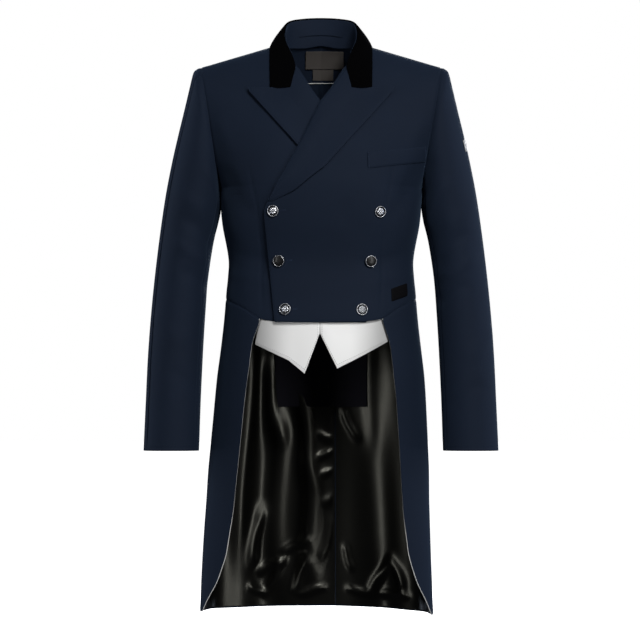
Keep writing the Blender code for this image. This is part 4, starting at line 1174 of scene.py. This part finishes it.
@dataclass
class WaistcoatPoints:
    """White satin points that hang behind the fronts' hem, with their edge stitching."""

    finishes: Finishes
    stitching: Stitching
    rows: int = 60
    columns: int = 64
    flat: tuple[float, float] = (0.115, 0.105)
    top_z: float = -0.447
    top_wide: float = 0.1020
    depth: float = 0.0057
    width: float = 0.115
    length: float = 0.09
    wave_height: float = 0.0012
    wave_turns: float = 70.0
    wave_ease: float = 1.5
    rim: float = 0.0006
    # Edge stitching: how far in from the foot and from the front edge, as shares down and across
    foot_row: float = 0.94
    edge_row: float = 0.04
    row_ends: tuple[float, float] = (0.03, 0.97)
    edge_ends: tuple[float, float] = (0.55, 0.94)
    thread_lift: float = 0.0001
    # Real stitches are 0.3 mm thick and are drawn at 0.8 mm, so that they show in a render
    spacing: float = 0.0036
    stitch: float = 0.0024
    thread: float = 0.00040

    def spots(self, side: Side, down: Array, across: Array) -> Array:
        """Places x and z on a point, down from its top and across from the middle."""
        feet = np.array(POINT_FEET[side])
        spans = np.linspace(0.0, 1.0, len(feet))
        foot = np.stack([np.interp(across, spans, feet[:, k]) for k in (0, 1)], axis=-1)
        near, far = feet[0, 0], feet[-1, 0]
        top_x = near + (self.top_wide - near) * (foot[..., 0] - near) / (far - near)
        top = np.stack([top_x, np.full(top_x.shape, self.top_z)], axis=-1)
        return top + (foot - top) * down[..., None]

    def laid(self, side: Side, down: Array, across: Array, lift: float = 0.0) -> Array:
        """Points of the satin on its own side, with its soft waves."""
        spots = self.spots(side, down, across)
        wave = self.wave_height * np.sin(spots[..., 0] * self.wave_turns + 1.0) * ease(down * self.wave_ease)
        return mirrored(FORM.at(Face.FRONT, spots[..., 0], spots[..., 1], wave - self.depth + lift), side)

    def grid(self, side: Side) -> Array:
        """Outer face of a point."""
        across, down = np.meshgrid(clustered(self.columns, self.width), clustered(self.rows, self.length))
        return rolled(self.laid(side, down, across), dict.fromkeys(("foot", "start", "end"), self.rim))

    def stitch_lines(self, side: Side) -> list[Array]:
        """Lines of edge stitching, just inside the foot and the front edge."""
        across, down = np.linspace(*self.row_ends, 90), np.linspace(*self.edge_ends, 40)
        return [self.laid(side, np.full(90, self.foot_row), across, self.thread_lift),
                self.laid(side, down, np.full(40, self.edge_row), self.thread_lift)]

    def build(self) -> None:
        """Make both points."""
        for side in Side:
            point = Cut("waistcoat_point_" + side.word, "satin", "white_satin", SATIN, self.flat,
                        ("front_left", "front_right"))
            point.make(self.grid(side), self.finishes)
        lines = [line for side in Side for line in self.stitch_lines(side)]
        # The stitches take the white thread's finish, whose grey is painted shade
        rows = self.stitching.sew("waistcoat_edge_stitches", lines, self.spacing, self.stitch, self.thread,
                                  self.finishes["white_thread_painted_shade"])
        dress(rows, self.finishes["white_thread_painted_shade"])


@dataclass(frozen=True)
class ButtonSpot:
    """A button's place on the left front, its seat over the form, and whether it has enamel."""

    number: int
    x: float
    z: float
    seat: float
    enamelled: bool


BUTTONS = (
    ButtonSpot(1, -0.0797, -0.2810, -0.0002, False), ButtonSpot(2, 0.0985, -0.2825, -0.0005, False),
    ButtonSpot(3, -0.0700, -0.3655, +0.0009, True), ButtonSpot(4, 0.0826, -0.3660, +0.0009, True),
    ButtonSpot(5, -0.0598, -0.4485, +0.0003, False), ButtonSpot(6, 0.0683, -0.4490, +0.0001, False),
)


@dataclass
class Buttons:
    """Metal buttons: a rosette inside a dark groove and a bright ring, or an enamelled centre."""

    finishes: Finishes
    rings: int = 60
    sectors: int = 72
    # How far out from its seat the point lies that a button faces
    aim: float = 0.01
    # Relief on the top, which is the first share of the profile's length: petals, an eye and beads
    top_share: float = 0.42
    petals: int = 8
    petal_radius: float = 0.0040
    petal_width: float = 0.0014
    petal_rise: float = 0.0011
    eye_width: float = 0.0012
    eye_rise: float = 0.0008
    beads: int = 36
    bead_radius: float = 0.0090
    bead_width: float = 0.0005
    bead_rise: float = 0.00022
    bright_centre: float = 0.0060
    bright_ring: tuple[float, float] = (0.0087, 0.0098)
    profile: tuple[tuple[float, float], ...] = (
        (0.0000, 0.0042), (0.0030, 0.0041), (0.0055, 0.0037), (0.0064, 0.0032), (0.0068, 0.0025),
        (0.0082, 0.0025), (0.0086, 0.0036), (0.0090, 0.0041), (0.0094, 0.0038), (0.0097, 0.0030),
        (0.0099, 0.0024), (0.0085, 0.0017), (0.0032, 0.0014), (0.0030, 0.0002), (0.0000, 0.0001),
    )
    cup: tuple[tuple[float, float], ...] = (
        (0.0000, 0.0026), (0.0082, 0.0026), (0.0087, 0.0031), (0.0088, 0.0038), (0.0091, 0.0043),
        (0.0094, 0.0040), (0.0097, 0.0032), (0.0099, 0.0024), (0.0085, 0.0017),
        (0.0032, 0.0014), (0.0030, 0.0002), (0.0000, 0.0001),
    )
    enamel: tuple[tuple[float, float], ...] = (
        (0.0000, 0.0044), (0.0035, 0.0043), (0.0060, 0.0040), (0.0078, 0.0036), (0.0085, 0.0033),
        (0.0086, 0.0030), (0.0082, 0.0028), (0.0000, 0.0028),
    )

    def turned(self, name: str, profile: tuple[tuple[float, float], ...], petals: bool, beads: bool,
               place: Vector, facing: Vector) -> bpy.types.Object:
        """Turned piece on its place.

        Args:
            name: The piece's name.
            profile: Radius and height of each corner, from the middle of the top to that of the back.
            petals: True where it has a rosette.
            beads: True where it has a ring of beads.
            place: Its seat on the coat.
            facing: Direction that its top faces.
        Returns:
            The finished object.
        """
        corners = np.array(profile)
        lengths = run_lengths(corners)
        at = np.linspace(0.0, lengths[-1], self.rings)
        radius, height = (np.interp(at, lengths, corners[:, k])[:, None] for k in (0, 1))
        angle = np.linspace(0.0, 2.0 * math.pi, self.sectors, endpoint=False)[None, :]
        petal, bead = (0.5 + 0.5 * np.cos(count * angle) for count in (self.petals, self.beads))
        petal = petal * np.exp(-((radius - self.petal_radius) / self.petal_width) ** 2)
        bead = bead * np.exp(-((radius - self.bead_radius) / self.bead_width) ** 2)
        eye = np.exp(-(radius / self.eye_width) ** 2)
        rise = petals * (self.petal_rise * petal + self.eye_rise * eye) + beads * self.bead_rise * bead
        height = height + rise * (at < lengths[-1] * self.top_share)[:, None]
        rings = np.stack([radius * np.cos(angle), radius * np.sin(angle), height], axis=-1)
        rings = rings @ np.array(facing.to_track_quat("Z", "Y").to_matrix()).T + np.array(place)
        return capped(name, rings[1:-1], rings[[0, -1], 0])

    def darken(self, button: bpy.types.Object, place: Vector, facing: Vector) -> None:
        """Give a plate its bright ring and rosette, and blacken its groove, rim and back."""
        for key in ("silver_metal", "dark_metal"):
            button.data.materials.append(self.finishes[key])
        for face in button.data.polygons:
            off = face.center - place
            radius = (off - facing * off.dot(facing)).length
            bright = radius < self.bright_centre or self.bright_ring[0] < radius < self.bright_ring[1]
            face.material_index = 0 if bright and face.normal.dot(facing) > 0.0 else 1

    def build(self) -> None:
        """Make all six buttons."""
        for spot in BUTTONS:
            x, z = np.array([spot.x]), np.array([spot.z])
            lift = FORM.front_lift(Side.LEFT, x, z) + spot.seat
            place = FORM.at(Face.FRONT, x, z, lift)[0]
            facing = Vector(FORM.at(Face.FRONT, x, z, lift + self.aim)[0] - place).normalized()
            node = "button_%d" % spot.number
            profile = self.cup if spot.enamelled else self.profile
            button = self.turned("coat_" + node, profile, not spot.enamelled, True, Vector(place), facing)
            self.darken(button, Vector(place), facing)
            dress(button, self.finishes["silver_metal"], (node,))
            if spot.enamelled:
                centre = self.turned("coat_" + node + "_centre", self.enamel, False, False, Vector(place),
                                     facing)
                dress(centre, self.finishes["black_enamel"], (node + "_enamel",))


@dataclass(frozen=True)
class Patch:
    """Small piece on the left front between a top line and a foot line."""

    cut: Cut
    top: tuple[tuple[float, float], ...]
    foot: tuple[tuple[float, float], ...]


WELT = Patch(Cut("pocket_welt", "piece", "navy_wool", WOOL, (0.110, 0.028), ("front_left",)),
             ((0.0785, -0.1830), (0.1770, -0.1730)), ((0.0790, -0.2094), (0.1765, -0.1975)))
WAIST_PATCH = Patch(Cut("waist_patch", "piece", "black_tab", LABEL, (0.032, 0.023), ("front_left",)),
                    ((0.1185, -0.4135), (0.1450, -0.4040)), ((0.1195, -0.4345), (0.1460, -0.4250)))


@dataclass(frozen=True)
class Label:
    """Flat piece inside the back: middle, width, top, foot and place inside the form."""

    cut: Cut
    middle_x: float
    width: float
    top_z: float
    foot_z: float
    lift: float


BACKS = ("back_left", "back_right")
LABELS = (Label(Cut("neck_label", "woven", "label_weave", LABEL, (0.068, 0.032), BACKS),
                0.0063, 0.0650, -0.0060, -0.0365, -0.0037),
          Label(Cut("size_label", "woven", "label_weave", LABEL, (0.036, 0.019), BACKS),
                0.0035, 0.0350, -0.0380, -0.0560, -0.0024))


@dataclass
class Trim:
    """Welt, tabs, labels, the lining at the waist, pipings, the hanger loop and buttonholes."""

    finishes: Finishes
    stitching: Stitching
    sleeves: Sleeves
    tails: Tails
    patch_puff: float = 0.0003
    patch_reach: float = 0.0016
    patch_dips: dict[str, float] = field(
        default_factory=lambda: {"top": 0.0004, "foot": 0.0007, "start": 0.0007, "end": 0.0007})
    tab_flat: tuple[float, float] = (0.024, 0.021)
    tab_angles: tuple[float, float] = (0.16, 0.42)
    tab_rings: tuple[float, float] = (5.15, 5.58)
    lining_flat: tuple[float, float] = (0.165, 0.225)
    lining_half: float = 0.0800
    lining_wave: float = 0.0008
    lining_turns: float = 60.0
    # The waist lining's place inside the form, as height and lift
    lining_drops: tuple[tuple[float, float], ...] = (
        (-0.395, -0.0021), (-0.405, -0.0032), (-0.420, -0.0066), (-0.500, -0.0074), (-0.560, -0.0080),
        (-0.614, -0.0087))
    facing_z: float = -0.0610
    facing_half: float = 0.0750
    facing_lift: float = -0.0030
    loop_cord: float = 0.0011
    # Buttonholes beside the buttons on the lap: inner end and outer end, as x and z
    buttonholes: tuple[tuple[tuple[float, float], tuple[float, float]], ...] = (
        ((-0.0660, -0.2805), (-0.0590, -0.2800)), ((-0.0560, -0.3650), (-0.0490, -0.3645)),
        ((-0.0470, -0.4480), (-0.0400, -0.4475)))
    hole_half: float = 0.0009
    welt_ends: tuple[float, float] = (0.012, 0.988)
    thread_lift: float = 0.0002
    # Real stitches are 0.3 mm thick and are drawn at 0.6 mm, so that they show in a render
    spacing: float = 0.0011
    stitch: float = 0.0015
    thread: float = 0.00028

    def front_line(self, spots: Array, lift: float) -> Array:
        """Line laid on the left front."""
        x, z = spots[:, 0], spots[:, 1]
        return FORM.at(Face.FRONT, x, z, FORM.front_lift(Side.LEFT, x, z) + lift)

    def build_patch(self, patch: Patch) -> None:
        """Make a small piece on the left front, with a soft fold-over at its edges."""
        width, height = patch.cut.flat
        share, down = clustered(48, width), clustered(16, height)[:, None, None]
        top, foot = along_line(patch.top, share), along_line(patch.foot, share)
        spots = top[None] * (1.0 - down) + foot[None] * down
        x, z = spots[..., 0], spots[..., 1]
        puff = self.patch_puff * np.sin(math.pi * down[..., 0])
        grid = FORM.at(Face.FRONT, x, z, FORM.front_lift(Side.LEFT, x, z) + LAYER + patch.cut.wall + puff)
        patch.cut.make(rolled(grid, self.patch_dips, reach=self.patch_reach), self.finishes)

    def build_labels(self) -> None:
        """Make the two bare labels inside the back neck."""
        for label in LABELS:
            x = label.middle_x + label.width * (clustered(30, label.width) - 0.5)
            z = label.top_z + (label.foot_z - label.top_z) * clustered(18, 0.03)
            x, z = np.meshgrid(x, z)
            label.cut.make(FORM.at(Face.BACK, x, z, np.full(x.shape, label.lift)), self.finishes)

    def build_waist_lining(self) -> None:
        """Make the matt panel inside the back of the waist."""
        drops = np.array(self.lining_drops)
        z = drops[0, 0] + (drops[-1, 0] - drops[0, 0]) * clustered(80, 0.22)
        x, z = np.meshgrid(self.lining_half * (2.0 * clustered(60, 0.16) - 1.0), z)
        lift = np.interp(-z, -drops[:, 0], drops[:, 1]) + self.lining_wave * np.sin(x * self.lining_turns)
        panel = Cut("waist_lining", "panel", "black_lining", LINING, self.lining_flat,
                    ("tail_lining_left", "tail_lining_right"))
        panel.make(FORM.at(Face.BACK, x, z, lift), self.finishes)

    def build_badge(self) -> None:
        """Make the small bare tab on the left sleeve."""
        angle, ring = np.meshgrid(np.linspace(*self.tab_angles, 24), np.linspace(*self.tab_rings, 20))
        lift = LAYER + LABEL + self.sleeves.lift(Side.LEFT, angle, ring)
        tab = Cut("sleeve_badge", "tab", "white_satin", LABEL, self.tab_flat, ("sleeve_left",))
        tab.make(self.sleeves.point(Side.LEFT, angle, ring, lift), self.finishes,
                 self.sleeves.middle(Side.LEFT, ring))

    def build_cord(self, node: str, line: Array, radius: float, finish: str) -> None:
        """Make a round piping or loop along its line."""
        dress(cord(node + "_cord", line, radius), self.finishes[finish], (node,))

    def build_cords(self) -> None:
        """Make the pipings and the hanger loop, which arches inside its packed box."""
        for side in Side:
            self.build_cord("piping_" + side.word, self.tails.piping_line(side), PIPING, "white_piping")
        x = np.linspace(-self.facing_half, self.facing_half, 60)
        line = FORM.at(Face.BACK, x, np.full(x.shape, self.facing_z), np.full(x.shape, self.facing_lift))
        self.build_cord("facing_piping", line, PIPING, "white_piping")
        low, high = (np.array(corner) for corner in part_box("hanger_loop"))
        low, high = low + self.loop_cord, high - self.loop_cord
        share = np.linspace(-1.0, 1.0, 40)[:, None]
        arch = 1.0 - share ** 2
        line = low + (high - low) * np.concatenate([(1.0 + share) / 2.0, arch, arch], axis=1)
        self.build_cord("hanger_loop", line, self.loop_cord, "navy_wool")

    def build_stitches(self) -> None:
        """Sew the buttonholes and the welt's ends."""
        lines = []
        for start, end in self.buttonholes:
            for offset in (-self.hole_half, self.hole_half):
                spots = np.linspace(np.array(start), np.array(end), 24) + (0.0, offset)
                lines.append(self.front_line(spots, self.thread_lift))
        for share in self.welt_ends:
            top, foot = (along_line(line, np.array([share]))[0] for line in (WELT.top, WELT.foot))
            lines.append(self.front_line(np.linspace(top, foot, 20), LAYER + WOOL + self.thread_lift))
        rows = self.stitching.sew("coat_stitches", lines, self.spacing, self.stitch, self.thread,
                                  self.finishes["navy_thread"])
        dress(rows, self.finishes["navy_thread"])

    def build(self) -> None:
        """Make all the trim."""
        for patch in (WELT, WAIST_PATCH):
            self.build_patch(patch)
        self.build_labels()
        self.build_waist_lining()
        self.build_badge()
        self.build_cords()
        self.build_stitches()


def linear(code: str) -> tuple[float, float, float, float]:
    """Linear colour of an sRGB hex code."""
    parts = [int(code[k:k + 2], 16) / 255.0 for k in (1, 3, 5)]
    return (*(p / 12.92 if p <= 0.04045 else ((p + 0.055) / 1.055) ** 2.4 for p in parts), 1.0)


def add(tree: bpy.types.NodeTree, kind: str, settings: dict[str, object] | None = None,
        inputs: dict[str | int, object] | None = None) -> bpy.types.Node:
    """Add a node with its settings; an input is a socket to link or a value to set."""
    node = tree.nodes.new(kind)
    for name, value in (settings or {}).items():
        setattr(node, name, value)
    for name, value in (inputs or {}).items():
        if isinstance(value, bpy.types.NodeSocket):
            tree.links.new(value, node.inputs[name])
        else:
            node.inputs[name].default_value = value
    return node


class Pattern(Enum):
    """How a finish's surface is made."""

    TWILL = "twill lines of a worsted"
    PILE = "short cut pile"
    SATIN = "smooth satin floats"
    PLAIN = "matt plain weave"
    CAST = "cast and polished metal"
    GLAZE = "smooth enamel"
    RIBBED = "fine ribs of a woven label"
    THREAD = "twisted thread"


SHEEN_ROUGHNESS = 0.45
COAT_ROUGHNESS = 0.06
BUMP_STRENGTH = 0.6
# Scale of the broad clouds of colour, and grains of the fine texture in one pitch
CLOUD_SCALE = 9.0
GRAINS_PER_PITCH = 0.6
# A wave's bands lie one of these numbers over its scale apart
STRAIGHT_BANDS = 0.6283
DIAGONAL_BANDS = 0.4443
# Share of the bands in the blend of a finish's two colours, where it isn't the usual one
BAND_SHARES = {Pattern.TWILL: 0.35, Pattern.RIBBED: 0.6}
USUAL_BAND_SHARE = 0.15
# Pointiness of a raised edge and of a hollow
RIDGE = 0.515
HOLLOW = 0.465


@dataclass(frozen=True)
class Finish:
    """A real material's look, from its common name and how it is made."""

    name: str
    pattern: Pattern
    colour: str
    other: str
    roughness: float
    specular: float
    pitch_mm: float
    relief_mm: float
    metallic: float = 0.0
    sheen: float = 0.0
    sheen_tint: str = "#FFFFFF"
    tint: str = "#FFFFFF"
    coat: float = 0.0
    # Painted shade: how far from the coat's middle a piece starts to darken, where it is fully darkened, and
    # the share of its colour left there
    painted_side_shade: tuple[float, float, float] | None = None

    def build(self) -> bpy.types.Material:
        """Make the material's nodes."""
        material = bpy.data.materials.new(self.name)
        material.use_nodes = True
        tree = material.node_tree
        shader = tree.nodes["Principled BSDF"]
        for name, value in (("Roughness", self.roughness), ("Metallic", self.metallic),
                            ("Specular IOR Level", self.specular), ("Specular Tint", linear(self.tint)),
                            ("Sheen Weight", self.sheen), ("Sheen Roughness", SHEEN_ROUGHNESS),
                            ("Sheen Tint", linear(self.sheen_tint)), ("Coat Weight", self.coat),
                            ("Coat Roughness", COAT_ROUGHNESS)):
            shader.inputs[name].default_value = value
        place = add(tree, "ShaderNodeTexCoord")
        height, blend = self.surface(tree, place)
        colour = add(tree, "ShaderNodeMix", {"data_type": "RGBA"},
                     {0: blend, 6: linear(self.colour), 7: linear(self.other)})
        bump = add(tree, "ShaderNodeBump", None,
                   {"Height": height, "Strength": BUMP_STRENGTH, "Distance": self.relief_mm / 1000.0})
        # Painted shade: the colour darkens with the distance from the coat's middle along x
        if self.painted_side_shade:
            x = add(tree, "ShaderNodeSeparateXYZ", None, {0: place.outputs["Object"]}).outputs[0]
            out = add(tree, "ShaderNodeMath", {"operation": "ABSOLUTE"}, {0: x}).outputs[0]
            share = add(tree, "ShaderNodeMapRange", {"interpolation_type": "SMOOTHSTEP"},
                        {"Value": out, "From Min": self.painted_side_shade[0], "From Max": self.painted_side_shade[1],
                         "To Min": 1.0, "To Max": self.painted_side_shade[2]}).outputs[0]
            colour = add(tree, "ShaderNodeMix", {"data_type": "RGBA", "blend_type": "MULTIPLY"},
                         {0: 1.0, 6: colour.outputs[2], 7: share})
        tree.links.new(colour.outputs[2], shader.inputs["Base Color"])
        tree.links.new(bump.outputs[0], shader.inputs["Normal"])
        return material

    def surface(self, tree: bpy.types.NodeTree, place: bpy.types.Node) -> tuple[bpy.types.NodeSocket, ...]:
        """Height and colour-blend sockets of the pattern."""
        pitch = self.pitch_mm / 1000.0
        cloudy = add(tree, "ShaderNodeTexNoise", None,
                     {"Vector": place.outputs["Object"], "Scale": CLOUD_SCALE, "Detail": 3.0})
        fine = add(tree, "ShaderNodeTexNoise", None,
                   {"Vector": place.outputs["Object"], "Scale": GRAINS_PER_PITCH / pitch, "Detail": 2.0})
        if self.pattern in (Pattern.TWILL, Pattern.SATIN, Pattern.PLAIN, Pattern.RIBBED):
            twill = self.pattern is Pattern.TWILL
            direction, bands = ("DIAGONAL", DIAGONAL_BANDS) if twill else ("Y", STRAIGHT_BANDS)
            wave = add(tree, "ShaderNodeTexWave", {"bands_direction": direction},
                       {"Vector": place.outputs["UV"], "Scale": bands / pitch,
                        "Distortion": 0.6, "Detail": 1.0})
            height = add(tree, "ShaderNodeMath", {"operation": "MULTIPLY_ADD"},
                         {0: fine.outputs[0], 1: 0.8, 2: wave.outputs["Fac"]}).outputs[0]
            share = BAND_SHARES.get(self.pattern, USUAL_BAND_SHARE)
            mixed = add(tree, "ShaderNodeMath", {"operation": "MULTIPLY_ADD"},
                        {0: wave.outputs["Fac"], 1: share, 2: 0.0}).outputs[0]
            blend = add(tree, "ShaderNodeMath", {"operation": "MULTIPLY_ADD", "use_clamp": True},
                        {0: cloudy.outputs[0], 1: 0.5, 2: mixed}).outputs[0]
            return height, blend
        if self.pattern is Pattern.CAST:
            hollows = add(tree, "ShaderNodeNewGeometry").outputs["Pointiness"]
            worn = add(tree, "ShaderNodeMapRange", None,
                       {"Value": hollows, "From Min": RIDGE, "From Max": HOLLOW}).outputs[0]
            return fine.outputs[0], worn
        blend = add(tree, "ShaderNodeMath", {"operation": "MULTIPLY_ADD", "use_clamp": True},
                    {0: fine.outputs[0], 1: 0.5, 2: cloudy.outputs[0]}).outputs[0]
        return fine.outputs[0], blend


FINISHES = (
    # Worsted wool twill: a smooth dark navy with fine steep lines and a faint bluish nap at the edges.
    # Its twill lines are really 0.6 mm apart and are drawn at 1.5 mm so that they hold up in a render.
    Finish("worsted_wool_twill", Pattern.TWILL, "#0D1522", "#121D2E", 0.80, 0.13, 1.5, 0.05,
           sheen=0.14, sheen_tint="#86A8CF"),
    # Cotton velvet: cut pile that swallows light, with only a faint grey bloom where it turns away
    Finish("cotton_velvet", Pattern.PILE, "#010101", "#040405", 0.95, 0.01, 0.5, 0.12,
           sheen=0.015, sheen_tint="#6A6E78"),
    # Polyester satin lining: black and softly glossy
    Finish("polyester_satin", Pattern.SATIN, "#020202", "#050505", 0.30, 0.34, 0.9, 0.010, tint="#F1F0E2"),
    # Plain-weave lining: flat matt black
    Finish("plain_lining", Pattern.PLAIN, "#1C1B22", "#222129", 0.90, 0.15, 1.0, 0.03),
    # Polyester satin: white, softly glossy, with painted shade that darkens it towards its outer ends, away
    # from the coat's middle
    Finish("white_duchess_satin", Pattern.SATIN, "#DEDEDD", "#ECECEB", 0.40, 0.35, 0.9, 0.02, sheen=0.05,
           painted_side_shade=(0.045, 0.105, 0.50)),
    # Piping: white twisted cord under satin
    Finish("satin_piping", Pattern.THREAD, "#B4B4B1", "#D2D2CF", 0.50, 0.3, 1.2, 0.05),
    # Zinc alloy, cast and polished: bright on its ridges, dark in its hollows
    Finish("cast_zinc", Pattern.CAST, "#E6E8EC", "#3A3E46", 0.40, 0.5, 0.8, 0.01, metallic=1.0),
    # The same alloy blackened in its grooves and polished off again on the raised parts
    Finish("blackened_zinc", Pattern.GLAZE, "#07080B", "#0E1015", 0.60, 0.2, 0.8, 0.01),
    # Vitreous enamel: deep glossy black
    Finish("black_enamel", Pattern.GLAZE, "#040405", "#070709", 0.42, 0.25, 2.0, 0.004, coat=0.1),
    # Woven polyester label: dark brown grey with fine ribs
    Finish("woven_label", Pattern.RIBBED, "#3A3735", "#504C49", 0.62, 0.2, 1.0, 0.04),
    # Plain woven tab, black
    Finish("woven_tab", Pattern.RIBBED, "#050507", "#0A0A0D", 0.80, 0.06, 0.9, 0.04),
    # Polyester sewing thread, navy and white; the white thread is coloured mid grey as painted shade, so that
    # its stitches show against the white satin
    Finish("navy_sewing_thread", Pattern.THREAD, "#1A2435", "#26324A", 0.60, 0.2, 0.4, 0.02),
    Finish("white_sewing_thread_painted_shade", Pattern.THREAD, "#7E7F80", "#9A9B9B", 0.55, 0.3, 0.4, 0.02),
)
# The finishes' keys, in the same order
FINISH_KEYS = ("navy_wool", "black_velvet", "black_satin", "black_lining", "white_satin", "white_piping",
               "silver_metal", "dark_metal", "black_enamel", "label_weave", "black_tab", "navy_thread",
               "white_thread_painted_shade")


@dataclass(frozen=True)
class SoftLight:
    """Square soft light that looks at the coat's middle."""

    name: str
    place: tuple[float, float, float]
    width: float
    height: float
    watts: float
    colour: str


@dataclass
class Studio:
    """Pale floor, white surroundings, soft lights and the camera."""

    aim: tuple[float, float, float] = (-0.0017, 0.0, -0.466)
    distance: float = 16.0
    view_width: float = 1.088
    sensor: float = 36.0
    floor_z: float = -1.06
    floor_size: float = 60.0
    floor_glow: float = 1.15
    ambient: float = 0.05
    lights: tuple[SoftLight, ...] = (
        SoftLight("front_key", (1.8, -4.6, 2.5), 1.4, 1.4, 235.0, "#FFFFFF"),
        SoftLight("left_strip", (-2.95, -3.75, -0.3), 0.7, 2.6, 50.0, "#FFFFFF"),
        SoftLight("right_strip", (2.95, -3.75, -0.2), 0.7, 2.6, 62.0, "#FFFFFF"),
        SoftLight("left_rim", (-2.6, 0.9, 0.0), 0.9, 2.4, 34.0, "#D5E3FF"),
        SoftLight("right_rim", (2.6, 0.9, 0.0), 0.9, 2.4, 34.0, "#D5E3FF"),
        SoftLight("back_soft", (0.6, 4.5, 1.0), 2.4, 2.4, 140.0, "#FFFFFF"),
    )

    def build_world(self) -> None:
        """White surroundings for the eye, and a dim even light from them on the coat."""
        world = bpy.data.worlds.new("studio")
        world.use_nodes = True
        tree = world.node_tree
        tree.nodes.clear()
        dim = add(tree, "ShaderNodeBackground", None, {"Color": linear("#F2F5FF"), "Strength": self.ambient})
        white = add(tree, "ShaderNodeBackground", None, {"Color": linear("#FFFFFF"), "Strength": 1.0})
        seen = add(tree, "ShaderNodeLightPath").outputs["Is Camera Ray"]
        mixed = add(tree, "ShaderNodeMixShader", None, {0: seen, 1: dim.outputs[0], 2: white.outputs[0]})
        add(tree, "ShaderNodeOutputWorld", None, {"Surface": mixed.outputs[0]})
        bpy.context.scene.world = world

    def build_floor(self) -> None:
        """Pale floor under the coat, which glows a little so that it meets the white behind it."""
        half = self.floor_size / 2.0
        corners = ((-half, -half), (half, -half), (half, half), (-half, half))
        floor = mesh_object("floor", np.array([(x, y, self.floor_z) for x, y in corners]), [[0, 1, 2, 3]])
        material = bpy.data.materials.new("pale_floor")
        material.use_nodes = True
        shader = material.node_tree.nodes["Principled BSDF"]
        for name, value in (("Base Color", linear("#F4F4F4")), ("Roughness", 0.9),
                            ("Emission Color", linear("#FFFFFF")), ("Emission Strength", self.floor_glow)):
            shader.inputs[name].default_value = value
        floor.data.materials.append(material)
        floor.visible_diffuse = floor.visible_glossy = False

    def build_lights(self) -> None:
        """Soft lights round the coat."""
        aim = Vector(self.aim)
        for light in self.lights:
            data = bpy.data.lights.new(light.name, "AREA")
            data.shape = "RECTANGLE"
            data.size, data.size_y = light.width, light.height
            data.energy = light.watts
            data.color = linear(light.colour)[:3]
            lamp = in_scene(light.name, data)
            lamp.location = light.place
            lamp.rotation_euler = (aim - Vector(light.place)).to_track_quat("-Z", "Y").to_euler()

    def build_camera(self) -> None:
        """Level camera in front of the coat, far enough away to flatten it as in a catalogue view."""
        data = bpy.data.cameras.new("camera")
        data.sensor_width = self.sensor
        data.lens = self.sensor * self.distance / self.view_width
        camera = in_scene("camera", data)
        camera.location = (self.aim[0], -self.distance, self.aim[2])
        camera.rotation_euler = (math.pi / 2.0, 0.0, 0.0)
        bpy.context.scene.camera = camera

    def build(self) -> None:
        """Set up the studio."""
        self.build_camera()
        self.build_world()
        self.build_floor()
        self.build_lights()
        bpy.context.scene.view_settings.view_transform = "Standard"


def main() -> None:
    """Dress the coat and set up the studio."""
    logging.basicConfig(level=logging.INFO, format="%(name)s: %(message)s")
    Studio().build()
    finishes = {key: finish.build() for key, finish in zip(FINISH_KEYS, FINISHES)}
    stitching = Stitching()
    sleeves = Sleeves(finishes)
    tails = Tails(finishes)
    for part in (Bodice(finishes), tails, sleeves, Collar(finishes), WaistcoatPoints(finishes, stitching),
                 Buttons(finishes), Trim(finishes, stitching, sleeves, tails)):
        part.build()


if __name__ == "__main__":
    main()
